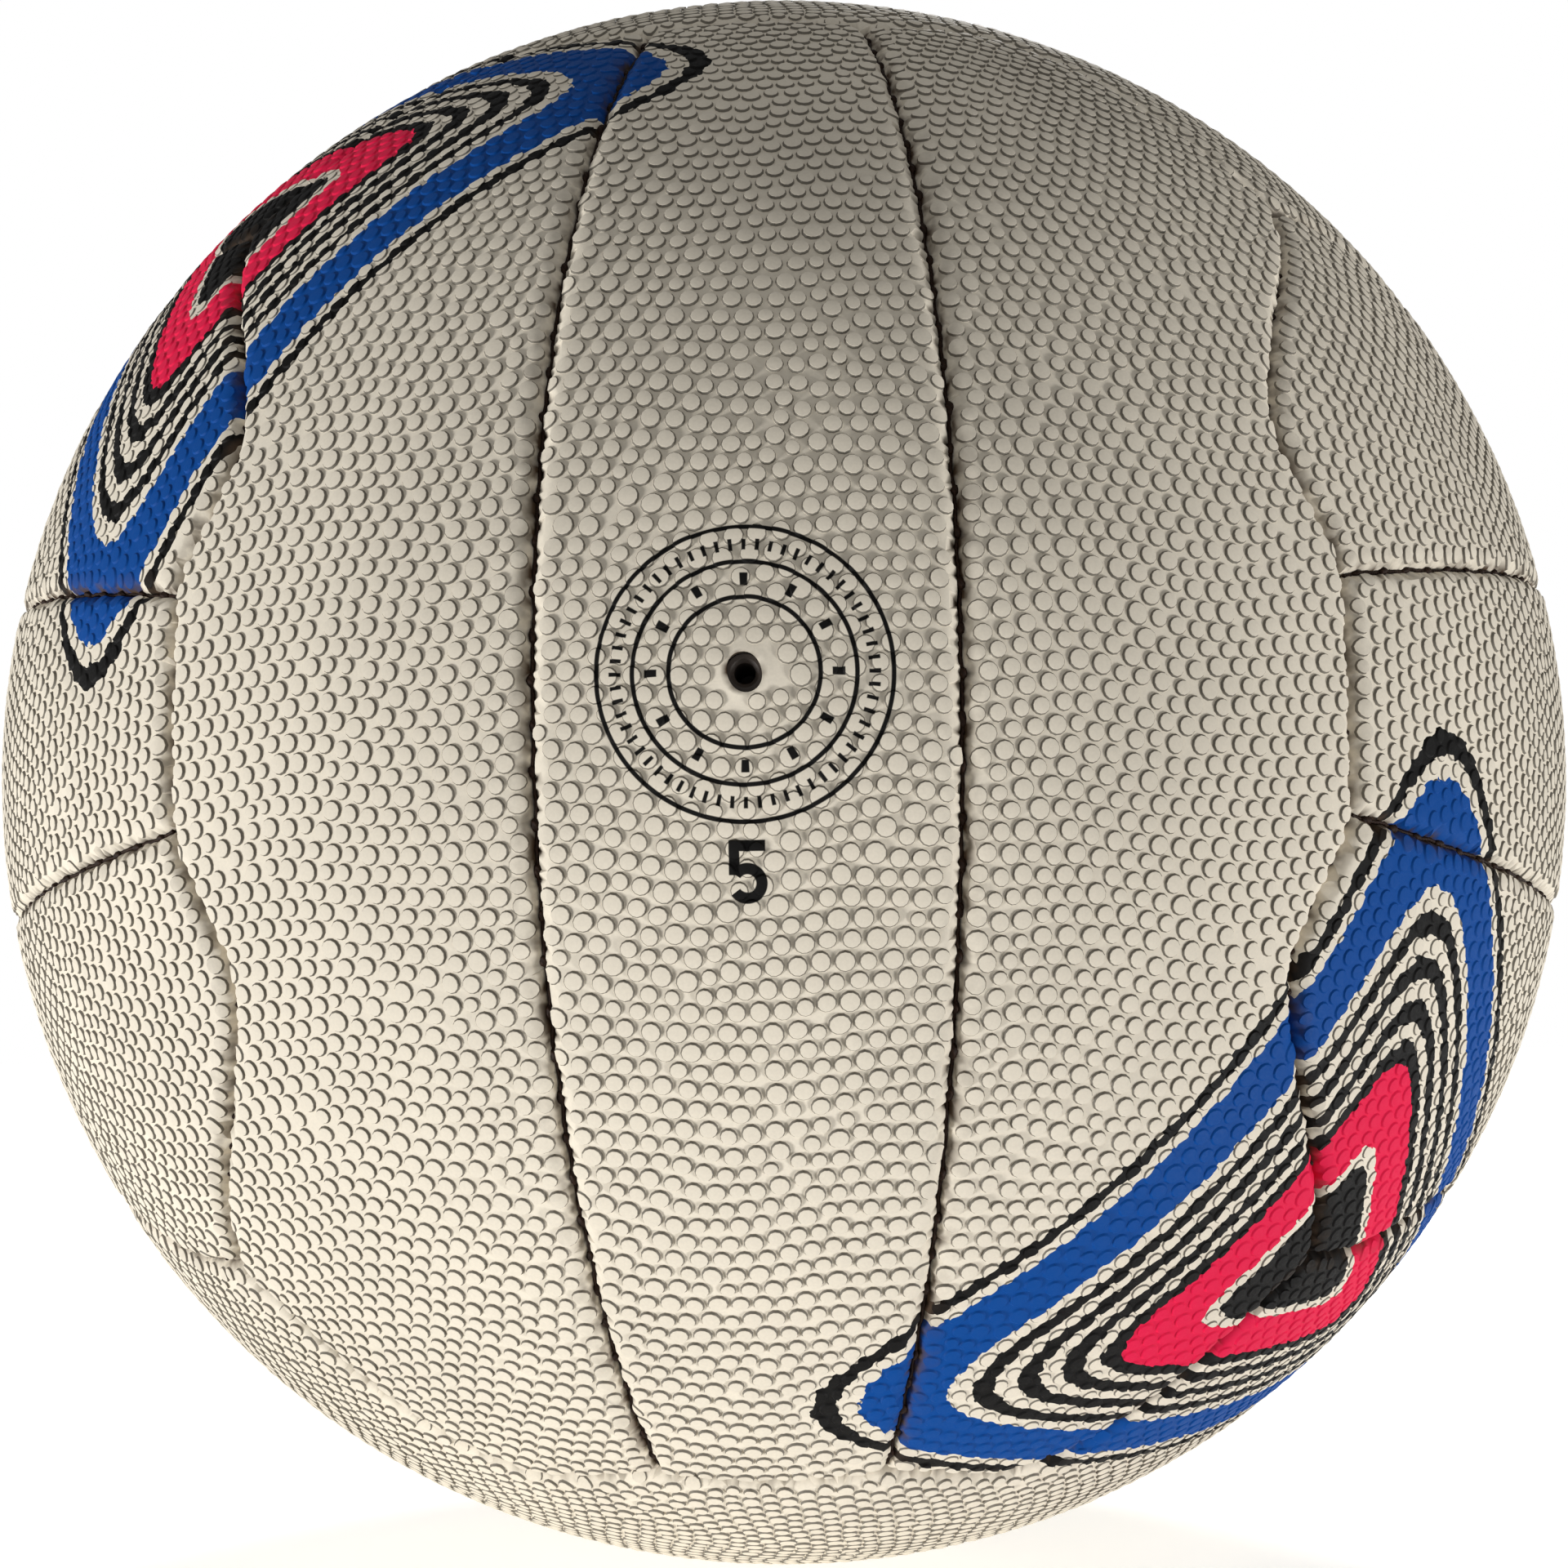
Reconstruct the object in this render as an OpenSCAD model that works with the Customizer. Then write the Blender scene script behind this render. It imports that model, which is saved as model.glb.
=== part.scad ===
/* [Ball] */
// Radius of the ball over the smooth part of its cover
ball_r = 111; // [105:0.5:116]

/* [Seams] */
// Half angle of a middle panel, seen along the ball's axis that its strip runs round
middle_half_angle = 11.56; // [9:0.01:14]
// Reach of a face's long seam from the face's centre line, as a share of the radius, at its middle
seam_middle_share = 0.5926; // [0.58:0.001:0.60]
// The same reach where the seam is drawn in beside the neighbour's middle panel
seam_pinch_share = 0.527; // [0.52:0.001:0.57]
// Angle along the seam at which it starts to draw in
pinch_start_angle = 7.8; // [6:0.1:8.2]
// Angle along the seam at which it is drawn in most
pinch_angle = 19.4; // [17:0.1:22]
// Angle along the seam at which it is back on the line of the corners
pinch_end_angle = 41; // [38:0.5:44]

/* [Cover panels] */
// Thickness of the rubber sheet under the pimples
cover_t = 1.3; // [1.1:0.1:1.6]
// Width of the rounded shoulder beside a seam
shoulder_w = 3.2; // [2.4:0.1:4]
// Depth of the shoulder, from the crown to the fold in the seam
shoulder_depth = 1.6; // [1.2:0.1:2]
// Depth to which a panel's edge is turned in between its neighbours
turn_in_depth = 3.4; // [3:0.1:4.6]
// Gap between two turned-in edges, drawn tight by the stitching
seam_gap = 0.3; // [0.2:0.05:0.4]

/* [Backing] */
// Thickness of the laminated cloth under a panel
backing_t = 1; // [0.8:0.1:1.2]
// Film of adhesive between a panel and its backing
bond_gap = 0.1; // [0.05:0.05:0.2]

/* [Bladder] */
// Wall of the bladder
bladder_wall = 0.6; // [0.5:0.1:1]
// Clearance between the bladder and the turned-in edges
bladder_gap = 0.2; // [0.15:0.05:0.3]

/* [Valve] */
// Hole through the front middle panel
valve_hole_d = 4.4; // [4.2:0.1:5]
// Outer diameter of the raised rim round the hole
valve_rim_d = 7.4; // [6.4:0.1:8]
// Height of the rim above the cover
valve_rim_h = 0.3; // [0.2:0.05:0.5]
// Needle bore in the valve's core
needle_bore_d = 2.2; // [2.1:0.05:2.4]
// Length of the needle bore, from its mouth to the slit
needle_bore_l = 9.6; // [8:0.2:11]
// Diameter of the core's neck in the panel's hole
core_neck_d = 3.9; // [3.7:0.1:4]
// Depth of the neck's mouth below the cover
core_recess = 0.8; // [0.6:0.1:1]
// Diameter of the core's barrel
core_barrel_d = 5.6; // [5.2:0.1:6]
// Diameter of the core's head, which holds it in the housing
core_head_d = 6.8; // [6.4:0.1:7]
// Length of the core's head
core_head_l = 1.4; // [1.2:0.1:1.8]
// Diameter of the core's tip, past the slit
core_tip_d = 3; // [2.6:0.1:3.4]
// Length of the taper to the tip
core_tip_l = 2.6; // [2:0.2:3.4]
// Outer diameter of the housing's stem
stem_d = 9.6; // [9.2:0.1:10.4]
// Diameter of the housing's flange inside the bladder
flange_d = 24; // [20:1:28]
// Thickness of the housing's flange
flange_t = 1.4; // [1:0.1:1.8]
// Diameter of the air hole at the housing's inner end
air_hole_d = 2; // [1.6:0.1:2.4]
// Wall at the housing's inner end
housing_floor_t = 1.2; // [1:0.1:1.6]
// Clearance round the core in its housing and the stem in its holes
valve_clearance = 0.1; // [0.05:0.05:0.15]
// Diameter of the patch on the bladder
patch_d = 30; // [26:1:34]
// Thickness of the patch
patch_t = 0.6; // [0.4:0.1:0.6]

/* [Stitching] */
// Diameter of the waxed thread
thread_d = 0.6; // [0.5:0.05:0.7]
// Clearance between the thread and the shoulders that it lies between
thread_clearance = 0.08; // [0.05:0.01:0.12]

/* [Hidden] */
// A face is [name, outward axis, axis along its strips, axis across them, names of its panels]
FACES = [
    ["front", [0, -1, 0], [0, 0, 1], [1, 0, 0], ["left", "middle", "right"]],
    ["back", [0, 1, 0], [0, 0, 1], [1, 0, 0], ["left", "middle", "right"]],
    ["right", [1, 0, 0], [0, 1, 0], [0, 0, 1], ["lower", "middle", "upper"]],
    ["left", [-1, 0, 0], [0, 1, 0], [0, 0, 1], ["lower", "middle", "upper"]],
    ["top", [0, 0, 1], [1, 0, 0], [0, 1, 0], ["front", "middle", "rear"]],
    ["bottom", [0, 0, -1], [1, 0, 0], [0, 1, 0], ["front", "middle", "rear"]],
];
VALVE_FACE = "front";
SIDES = [-1, 0, 1];

function panel_name(face, side) = str("panel_", face[0], "_", face[4][side + 1]);
function backing_name(face, side) = str("backing_", face[0], "_", face[4][side + 1]);
function middle_thread_name(face) = str("middle_thread_", face[0]);
function edge_thread_name(face) = str("edge_thread_", face[0]);

rubber_colour = "#DED4BE";
cloth_colour = "#E9E6DC";
thread_colour = "#2C211A";
black_rubber_colour = "#1D1D1F";

$fn = 180;
// Overrun of every cut past the surface that it opens
overrun = 0.5;

// Radii of the layers, from the cover inwards.
// The bladder clears the turned-in edges and leaves room for the patch
cover_inner_r = ball_r - cover_t;
backing_outer_r = cover_inner_r - bond_gap;
backing_inner_r = backing_outer_r - backing_t;
bladder_r = min(ball_r - turn_in_depth, backing_inner_r - patch_t - bond_gap) - bladder_gap;

// Heights along the valve's axis from the ball's centre. The housing's top seats under the panel's curve
valve_rim_round = valve_rim_h * 2 / 3;
stem_hole_d = stem_d + 2 * valve_clearance;
seat_z = sqrt(pow(cover_inner_r, 2) - pow(stem_d / 2, 2)) - valve_clearance;
core_mouth_z = ball_r - core_recess;
needle_end_z = core_mouth_z - needle_bore_l;
needle_lead_in = 0.4;
core_barrel_z = seat_z - core_head_l;
slit_l = 1;
core_taper_z = needle_end_z - slit_l;
core_tip_z = core_taper_z - core_tip_l;
housing_end_z = core_tip_z - valve_clearance - housing_floor_t;

// The eight corners, where three faces meet, lie on the diagonals of the ball's axes
corner_share = 1 / sqrt(3);
corner_angle = 45;
middle_slope = tan(middle_half_angle);

function blend(a, b, share) = a + (b - a) * share;
function ease(share) = share * share * (3 - 2 * share);

// Reach of a face's long seam across the face, at an angle along it from the seam's middle
function seam_share(angle) =
    let (a = abs(angle))
    a < pinch_start_angle ? seam_middle_share :
    a < pinch_angle ?
        blend(seam_middle_share, seam_pinch_share,
            ease((a - pinch_start_angle) / (pinch_angle - pinch_start_angle))) :
    a < pinch_end_angle ?
        blend(seam_pinch_share, corner_share, ease((a - pinch_angle) / (pinch_end_angle - pinch_angle))) :
    corner_share;

// Reach of a middle panel's straight seam across its face, at an angle along it
function middle_share(angle) =
    let (rise = middle_slope * cos(angle))
    rise / sqrt(1 + rise * rise);

// Angle along a long seam at which the neighbour's middle seam meets it
function junction(angle, rounds) =
    rounds == 0 ? angle :
    let (s = seam_share(angle))
    junction(asin(middle_slope * s / sqrt(1 - s * s)), rounds - 1);
junction_angle = junction(middle_half_angle, 8);

// Stations along a long seam, from its middle to its corner, where the neighbour's panels have theirs
middle_steps = 2;
side_steps = 8;
station_angles = concat(
    [for (i = [0 : middle_steps - 1]) junction_angle * i / middle_steps],
    [for (i = [0 : side_steps]) blend(junction_angle, corner_angle, i / side_steps)]
);
last_station = len(station_angles) - 1;
length_shares = concat(
    [for (i = [last_station : -1 : 1]) -station_angles[i] / corner_angle],
    [for (i = [0 : last_station]) station_angles[i] / corner_angle]
);
function width_shares(side) =
    let (steps = side == 0 ? 2 * middle_steps : side_steps)
    [for (i = [0 : steps]) i / steps];

// Directions on a face are [outward, along, across]; this is one at an angle along and a reach across
function face_direction(angle, reach) =
    let (rest = sqrt(1 - reach * reach))
    [rest * cos(angle), rest * sin(angle), reach];

// End of a panel, which lies on the neighbouring face's long seam
function end_angle_along_seam(side, width) =
    side == 0 ? blend(-junction_angle, junction_angle, width) : blend(junction_angle, corner_angle, width);
function end_direction(side, width) =
    let (a = end_angle_along_seam(side, width), s = seam_share(a), rest = sqrt(1 - s * s))
    [s, rest * cos(a), rest * sin(a)];
function end_angle(side, width) =
    let (end = end_direction(side, width))
    atan2(end[1], end[0]);

// Reach across of a panel's two long edges
function near_edge(side, angle) = side == 0 ? -middle_share(angle) : middle_share(angle);
function far_edge(side, angle) = side == 0 ? middle_share(angle) : seam_share(angle);

// Direction at a place on a panel: length runs from -1 to 1 along it, width from 0 to 1 across it
function panel_direction(side, length, width) =
    let (
        end = end_angle(side, width),
        angle = length * end,
        near_end = near_edge(side, end),
        end_width = (end_direction(side, width)[2] - near_end) / (far_edge(side, end) - near_end),
        bent_width = blend(width, end_width, pow(abs(length), 3))
    )
    face_direction(angle, blend(near_edge(side, angle), far_edge(side, angle), bent_width));

// The same direction, moved in from the panel's edges by a distance on the ball
function inset_direction(side, length, width, inset) =
    let (
        half_length = ball_r * end_angle(side, width) * PI / 180,
        across = ball_r * norm(panel_direction(side, length, 1) - panel_direction(side, length, 0)),
        length_in = length * (1 - inset / half_length),
        width_in = blend(inset / across, 1 - inset / across, width)
    )
    panel_direction(side, length_in, width_in);

// A side panel below its face's centre line is the mirror image of the one above it
function on_ball(face, side, direction) =
    face[1] * direction[0] + face[2] * direction[1] + face[3] * direction[2] * (side < 0 ? -1 : 1);

function is_mirrored(face, side) =
    (cross(face[2], face[3]) * face[1] < 0) != (side < 0);

// Once round a panel's edge at an inset and a radius
function edge_loop(face, side, inset, radius) =
    let (
        kind = abs(side),
        lengths = length_shares,
        widths = width_shares(side),
        u_end = len(lengths) - 1,
        v_end = len(widths) - 1,
        places = concat(
            [for (i = [0 : u_end - 1]) [lengths[i], 0]],
            [for (j = [0 : v_end - 1]) [1, widths[j]]],
            [for (i = [u_end : -1 : 1]) [lengths[i], 1]],
            [for (j = [v_end : -1 : 1]) [-1, widths[j]]]
        )
    )
    [for (p = places) radius * on_ball(face, side, inset_direction(kind, p[0], p[1], inset))];

// A solid through loops of points, closed to a tip at each end
module loft(first_tip, loops, last_tip, mirrored) {
    count = len(loops[0]);
    points = concat([first_tip], [for (l = loops) each l], [last_tip]);
    last = len(points) - 1;
    function at(loop_index, i) = 1 + loop_index * count + i % count;
    faces = concat(
        [for (i = [0 : count - 1]) [0, at(0, i), at(0, i + 1)]],
        [for (k = [0 : len(loops) - 2], i = [0 : count - 1]) each [
            [at(k, i), at(k + 1, i), at(k + 1, i + 1)],
            [at(k, i), at(k + 1, i + 1), at(k, i + 1)],
        ]],
        [for (i = [0 : count - 1]) [last, at(len(loops) - 1, i + 1), at(len(loops) - 1, i)]]
    );
    polyhedron(points, mirrored ? faces : [for (f = faces) [f[2], f[1], f[0]]], convexity = 4);
}

// Wedge from the ball's centre through a panel's outline, well past the cover
module wedge(face, side, inset) {
    loft(2 * ball_r * on_ball(face, side, panel_direction(abs(side), 0, 0.5)),
        [edge_loop(face, side, inset, ball_r)], [0, 0, 0], is_mirrored(face, side));
}

// The same wedge with a panel's rounded shoulder on its rim. Shares are
// [inset of the shoulder's width, depth of the shoulder's depth], from above the crown to the fold
shoulder_shares = [[1.8, -0.25], [0.5, 0.134], [0.14, 0.48], [0, 1]];
fold_rise = shoulder_shares[2];

// The thread lies between the shoulders' lowest slopes, as deep as it goes without touching them
fold_slope = fold_rise[0] * shoulder_w / ((1 - fold_rise[1]) * shoulder_depth);
thread_room = (thread_d / 2 + thread_clearance) * sqrt(1 + fold_slope * fold_slope);
thread_r = ball_r - shoulder_depth + (thread_room - seam_gap / 2) / fold_slope;
thread_sides = 4;
// Threads stop a thread's width short of the ones that they meet
thread_end_angle = asin(2 * thread_d / ball_r);
module shouldered_wedge(face, side) {
    loft(2 * ball_r * on_ball(face, side, panel_direction(abs(side), 0, 0.5)),
        [for (s = shoulder_shares)
            edge_loop(face, side, seam_gap / 2 + s[0] * shoulder_w, ball_r - s[1] * shoulder_depth)],
        [0, 0, 0], is_mirrored(face, side));
}

// Shell between two radii, on the side of the ball that a panel covers
module panel_shell(face, side, inset, outer_r, inner_r) {
    difference() {
        intersection() {
            sphere(r = outer_r);
            wedge(face, side, inset);
        }
        sphere(r = inner_r);
    }
}

function holds_valve(face, side) = face[0] == VALVE_FACE && side == 0;

// Stands what is drawn along +Z on the valve's axis, out through the front middle panel
module on_valve_axis() {
    rotate([90, 0, 0]) children();
}

// A cover panel: a sheet with rounded shoulders, turned in all round between its neighbours
module panel_tray(face, side) {
    difference() {
        intersection() {
            sphere(r = ball_r);
            shouldered_wedge(face, side);
        }
        sphere(r = ball_r - turn_in_depth);
        intersection() {
            sphere(r = cover_inner_r);
            wedge(face, side, seam_gap / 2 + cover_t);
        }
    }
}

// The raised rim round the valve's hole, with a bevelled top, rooted in the sheet
module valve_rim() {
    root_z = ball_r - cover_t / 2;
    top_z = ball_r + valve_rim_h;
    rotate_extrude()
        polygon([
            [0, root_z],
            [valve_rim_d / 2, root_z],
            [valve_rim_d / 2, top_z - valve_rim_round],
            [valve_rim_d / 2 - valve_rim_round, top_z],
            [0, top_z],
        ]);
}

module valve_hole() {
    translate([0, 0, ball_r - turn_in_depth])
        cylinder(h = turn_in_depth + valve_rim_h + overrun, d = valve_hole_d);
}

module panel(face, side) {
    color(rubber_colour)
        if (holds_valve(face, side))
            difference() {
                union() {
                    panel_tray(face, side);
                    on_valve_axis() valve_rim();
                }
                on_valve_axis() valve_hole();
            }
        else panel_tray(face, side);
}

module backing(face, side) {
    color(cloth_colour)
        difference() {
            panel_shell(face, side, seam_gap / 2 + cover_t + bond_gap, backing_outer_r, backing_inner_r);
            if (holds_valve(face, side))
                on_valve_axis() translate([0, 0, bladder_r]) cylinder(h = turn_in_depth, d = stem_hole_d);
        }
}

module bladder() {
    color(black_rubber_colour)
        difference() {
            sphere(r = bladder_r);
            sphere(r = bladder_r - bladder_wall);
            on_valve_axis() translate([0, 0, bladder_r / 2]) cylinder(h = bladder_r, d = stem_hole_d);
        }
}

// A round disc of a spherical shell, centred on the valve's axis
module shell_disc(outer_r, thickness, diameter) {
    difference() {
        intersection() {
            sphere(r = outer_r);
            on_valve_axis() cylinder(h = ball_r, d = diameter);
        }
        sphere(r = outer_r - thickness);
    }
}

module valve_patch() {
    color(black_rubber_colour)
        difference() {
            shell_disc(bladder_r + bond_gap + patch_t, patch_t, patch_d);
            on_valve_axis() cylinder(h = ball_r, d = stem_hole_d);
        }
}

module valve_core() {
    color(black_rubber_colour)
        on_valve_axis()
            difference() {
                rotate_extrude()
                    polygon([
                        [0, core_mouth_z],
                        [core_neck_d / 2, core_mouth_z],
                        [core_neck_d / 2, seat_z],
                        [core_head_d / 2, seat_z],
                        [core_head_d / 2, core_barrel_z],
                        [core_barrel_d / 2, core_barrel_z],
                        [core_barrel_d / 2, core_taper_z],
                        [core_tip_d / 2, core_tip_z],
                        [0, core_tip_z],
                    ]);
                translate([0, 0, needle_end_z]) cylinder(h = needle_bore_l + overrun, d = needle_bore_d);
                translate([0, 0, core_mouth_z - needle_lead_in])
                    cylinder(h = needle_lead_in + overrun, d1 = needle_bore_d,
                        d2 = needle_bore_d + 2 * (needle_lead_in + overrun));
            }
}

// The pocket for the core, its head's seat and the air hole under its tip
module core_pocket() {
    rotate_extrude()
        polygon([
            [0, seat_z + overrun],
            [core_head_d / 2 + valve_clearance, seat_z + overrun],
            [core_head_d / 2 + valve_clearance, core_barrel_z - valve_clearance],
            [core_barrel_d / 2 + valve_clearance, core_barrel_z - valve_clearance],
            [core_barrel_d / 2 + valve_clearance, core_taper_z],
            [core_tip_d / 2 + valve_clearance, core_tip_z - valve_clearance],
            [air_hole_d / 2, core_tip_z - valve_clearance],
            [air_hole_d / 2, housing_end_z - overrun],
            [0, housing_end_z - overrun],
        ]);
}

module valve_housing() {
    color(black_rubber_colour)
        difference() {
            union() {
                on_valve_axis()
                    rotate_extrude()
                        polygon([
                            [0, seat_z],
                            [stem_d / 2, seat_z],
                            [stem_d / 2, housing_end_z + housing_floor_t],
                            [stem_d / 2 - housing_floor_t, housing_end_z],
                            [0, housing_end_z],
                        ]);
                shell_disc(bladder_r - bladder_wall - bond_gap, flange_t, flange_d);
            }
            on_valve_axis() core_pocket();
        }
}

// Thread along one of a middle panel's straight seams, on the side of the face given by a sign
module middle_thread(face, sign) {
    outward = on_ball(face, sign, face_direction(0, middle_share(0)));
    along = face[2];
    half_sweep = acos(outward * on_ball(face, sign, end_direction(1, 0))) - thread_end_angle;
    multmatrix([for (i = [0 : 2]) [outward[i], along[i], cross(outward, along)[i], 0]])
        rotate([0, 0, -half_sweep])
            rotate_extrude(angle = 2 * half_sweep)
                translate([thread_r, 0]) circle(d = thread_d);
}

// Thread along one of a face's long seams, swept through the stations of the panels beside it
module edge_thread(face, sign) {
    function cut_back(share) = abs(share) == 1 ? thread_end_angle : 0;
    angles = [for (share = length_shares) share * (corner_angle - cut_back(share))];
    spine = [for (a = angles) on_ball(face, sign, face_direction(a, seam_share(a)))];
    last = len(spine) - 1;
    function sideways(i) =
        let (way = spine[min(i + 1, last)] - spine[max(i - 1, 0)], side = cross(spine[i], way))
        side / norm(side);
    rings = [for (i = [0 : last]) [
        for (k = [0 : thread_sides - 1])
            let (turn = 360 * k / thread_sides)
            spine[i] * (thread_r + cos(turn) * thread_d / 2) + sideways(i) * sin(turn) * thread_d / 2
    ]];
    loft(spine[0] * thread_r, rings, spine[last] * thread_r, false);
}

module middle_threads(face) {
    color(thread_colour)
        for (sign = [-1, 1]) middle_thread(face, sign);
}

module edge_threads(face) {
    color(thread_colour)
        for (sign = [-1, 1]) edge_thread(face, sign);
}

for (face = FACES, side = SIDES) {
    panel(face, side);
    backing(face, side);
}
for (face = FACES) {
    middle_threads(face);
    edge_threads(face);
}
bladder();
valve_patch();
valve_housing();
valve_core();
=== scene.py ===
import math

import bpy
import numpy as np
from bpy.props import FloatProperty, FloatVectorProperty, IntProperty, PointerProperty
from mathutils import Matrix, Vector
from mathutils.geometry import delaunay_2d_cdt


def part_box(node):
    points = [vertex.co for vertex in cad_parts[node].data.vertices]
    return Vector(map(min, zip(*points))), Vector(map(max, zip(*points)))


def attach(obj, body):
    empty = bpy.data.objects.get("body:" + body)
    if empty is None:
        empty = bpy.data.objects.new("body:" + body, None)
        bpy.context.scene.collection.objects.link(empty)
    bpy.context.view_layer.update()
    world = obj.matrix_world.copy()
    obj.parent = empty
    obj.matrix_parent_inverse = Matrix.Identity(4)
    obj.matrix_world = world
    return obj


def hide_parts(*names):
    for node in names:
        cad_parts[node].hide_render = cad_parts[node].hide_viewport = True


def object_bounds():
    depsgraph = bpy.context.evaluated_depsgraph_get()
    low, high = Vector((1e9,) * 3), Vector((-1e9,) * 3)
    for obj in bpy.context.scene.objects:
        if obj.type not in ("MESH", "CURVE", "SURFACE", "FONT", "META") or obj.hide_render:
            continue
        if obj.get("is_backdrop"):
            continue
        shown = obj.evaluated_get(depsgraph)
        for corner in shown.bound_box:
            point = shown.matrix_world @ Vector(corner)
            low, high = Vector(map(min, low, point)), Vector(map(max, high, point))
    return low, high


bl_info = {
    "name": "Netball",
    "version": (1, 0, 0),
    "blender": (4, 5, 0),
    "location": "3D View > Sidebar > Netball",
    "description": "Dresses the netball's frame with pimpled panels, stitching, print and a studio",
    "category": "Add Mesh",
}

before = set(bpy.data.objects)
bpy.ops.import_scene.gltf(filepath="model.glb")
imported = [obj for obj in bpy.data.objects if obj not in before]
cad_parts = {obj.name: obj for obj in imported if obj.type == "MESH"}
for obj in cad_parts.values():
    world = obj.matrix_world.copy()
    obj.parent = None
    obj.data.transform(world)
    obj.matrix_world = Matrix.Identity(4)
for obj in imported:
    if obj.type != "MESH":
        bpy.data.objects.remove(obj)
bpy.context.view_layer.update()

MM = 0.001
BALL_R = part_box("panel_top_middle")[1].z
CORNER_SHARE = 1 / math.sqrt(3)
CORNER_ANGLE = math.radians(45)

# A face is its outward axis, the axis along its strips, the axis across them and its panels' names
FACES = {
    "front": ((0, -1, 0), (0, 0, 1), (1, 0, 0), ("left", "middle", "right")),
    "back": ((0, 1, 0), (0, 0, 1), (1, 0, 0), ("left", "middle", "right")),
    "right": ((1, 0, 0), (0, 1, 0), (0, 0, 1), ("lower", "middle", "upper")),
    "left": ((-1, 0, 0), (0, 1, 0), (0, 0, 1), ("lower", "middle", "upper")),
    "top": ((0, 0, 1), (1, 0, 0), (0, 1, 0), ("front", "middle", "rear")),
    "bottom": ((0, 0, -1), (1, 0, 0), (0, 1, 0), ("front", "middle", "rear")),
}
SIDES = (-1, 0, 1)
VALVE_PANEL = "panel_front_middle"
# Waves by which a sewn seam strays: share of its waver, radians per millimetre
WAVER_WAVES = ((0.6, 1.257), (0.5, 2.1), (0.4, 0.63))
# Angle before a corner over which a seam comes back to its line
STEADY_ANGLE = 0.05
# Angles to either side of a seam's middle over which its line is laid out, past the ends that panels need
LONG_SEAM_REACH, MIDDLE_SEAM_REACH = math.radians(52), math.radians(62)


def size(name, description, millimetres):
    return FloatProperty(name=name, description=description, default=millimetres * MM, unit="LENGTH")


def share(name, description, default):
    return FloatProperty(name=name, description=description, default=default, subtype="FACTOR")


def angle(name, description, degrees):
    return FloatProperty(name=name, description=description, default=math.radians(degrees), unit="ROTATION")


def hex_to_linear(code):
    """A colour's linear red, green, blue and alpha from its sRGB hex value."""
    levels = [int(code[i:i + 2], 16) / 255 for i in (1, 3, 5)]
    return [v / 12.92 if v <= 0.04045 else ((v + 0.055) / 1.055) ** 2.4 for v in levels] + [1.0]


def colour(name, description, code):
    return FloatVectorProperty(
        name=name, description=description, default=hex_to_linear(code), size=4, subtype="COLOR", min=0, max=1)


class NetballSeams(bpy.types.PropertyGroup):
    middle_half_angle: angle("Middle half angle", "Half angle of a middle panel, seen along its strip's axis", 11.56)
    middle_share: share("Middle share", "Reach of a long seam at its middle, as a share of the radius", 0.5926)
    pinch_share: share("Pinch share", "The same reach where the seam is drawn in most", 0.527)
    pinch_start: angle("Pinch start", "Angle along the seam at which it starts to draw in", 7.8)
    pinch_angle: angle("Pinch angle", "Angle along the seam at which it is drawn in most", 19.4)
    pinch_end: angle("Pinch end", "Angle along the seam at which it is back on the corners' line", 41)
    gap: size("Gap", "Gap between two turned-in edges", 0.16)
    tight_shoulder_w: size("Tight shoulder", "Width of the shoulder of a panel that stands proud at a seam", 2.1)
    slack_shoulder_w: size("Slack shoulder", "Width of the shoulder of a panel that dips at a seam", 2.3)
    bare_margin: size("Bare margin", "Width without pimples beside a seam, on the panel that dips", 0.4)
    waver: size("Waver", "How far a sewn seam strays from its line", 0.11)
    shoulder_depth: size("Shoulder depth", "Depth from the crown to the fold in the seam", 1.6)
    turn_in_depth: size("Turn-in depth", "Depth to which a panel's edge is turned in", 3.4)
    cover_t: size("Cover thickness", "Thickness of the rubber sheet under the pimples", 1.3)
    pucker: share("Pucker", "How much each stitch widens the shoulder", 0.2)
    stitch_pitch: size("Stitch pitch", "Distance from one stitch to the next", 5.0)


class NetballPimples(bpy.types.PropertyGroup):
    pitch: size("Pitch", "Distance from one pimple to the next", 2.46)
    diameter: size("Diameter", "Diameter of a pimple at its foot", 2.3)
    height: size("Height", "Height of a pimple", 0.42)
    least_gap: size("Least gap", "Least gap between two pimples", 0.14)
    sides: IntProperty(name="Sides", description="Number of sides of a pimple", default=12, min=6, max=16)
    spread: share("Spread", "How much the pimples' sizes vary", 0.1)
    jitter: size("Jitter", "How far the pimples stray from their rows", 0.3)


class NetballValve(bpy.types.PropertyGroup):
    hole_r: size("Hole radius", "Radius of the hole over the valve", 1.93)
    rim_r: size("Rim radius", "Radius at which the rim round the hole ends", 3.7)
    rim_h: size("Rim height", "Height of the rim round the hole", 0.2)


class NetballStitches(bpy.types.PropertyGroup):
    thread_d: size("Thread diameter", "Diameter of the waxed thread", 0.46)
    wander: size("Wander", "How far the thread wanders to either side", 0.1)


class NetballPrint(bpy.types.PropertyGroup):
    inner_ring_r: size("Inner ring", "Radius of the inner ring round the valve", 7.7)
    middle_ring_r: size("Middle ring", "Radius of the middle ring round the valve", 11.4)
    outer_ring_r: size("Outer ring", "Radius of the outer ring round the valve", 15.1)
    line_w: size("Line width", "Width of the rings' lines", 0.48)
    black: colour("Black ink", "Colour of the black ink", "#0A0908")
    blue: colour("Blue ink", "Colour of the blue ink", "#02458F")
    pink: colour("Pink ink", "Colour of the pink ink", "#E01A49")


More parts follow.
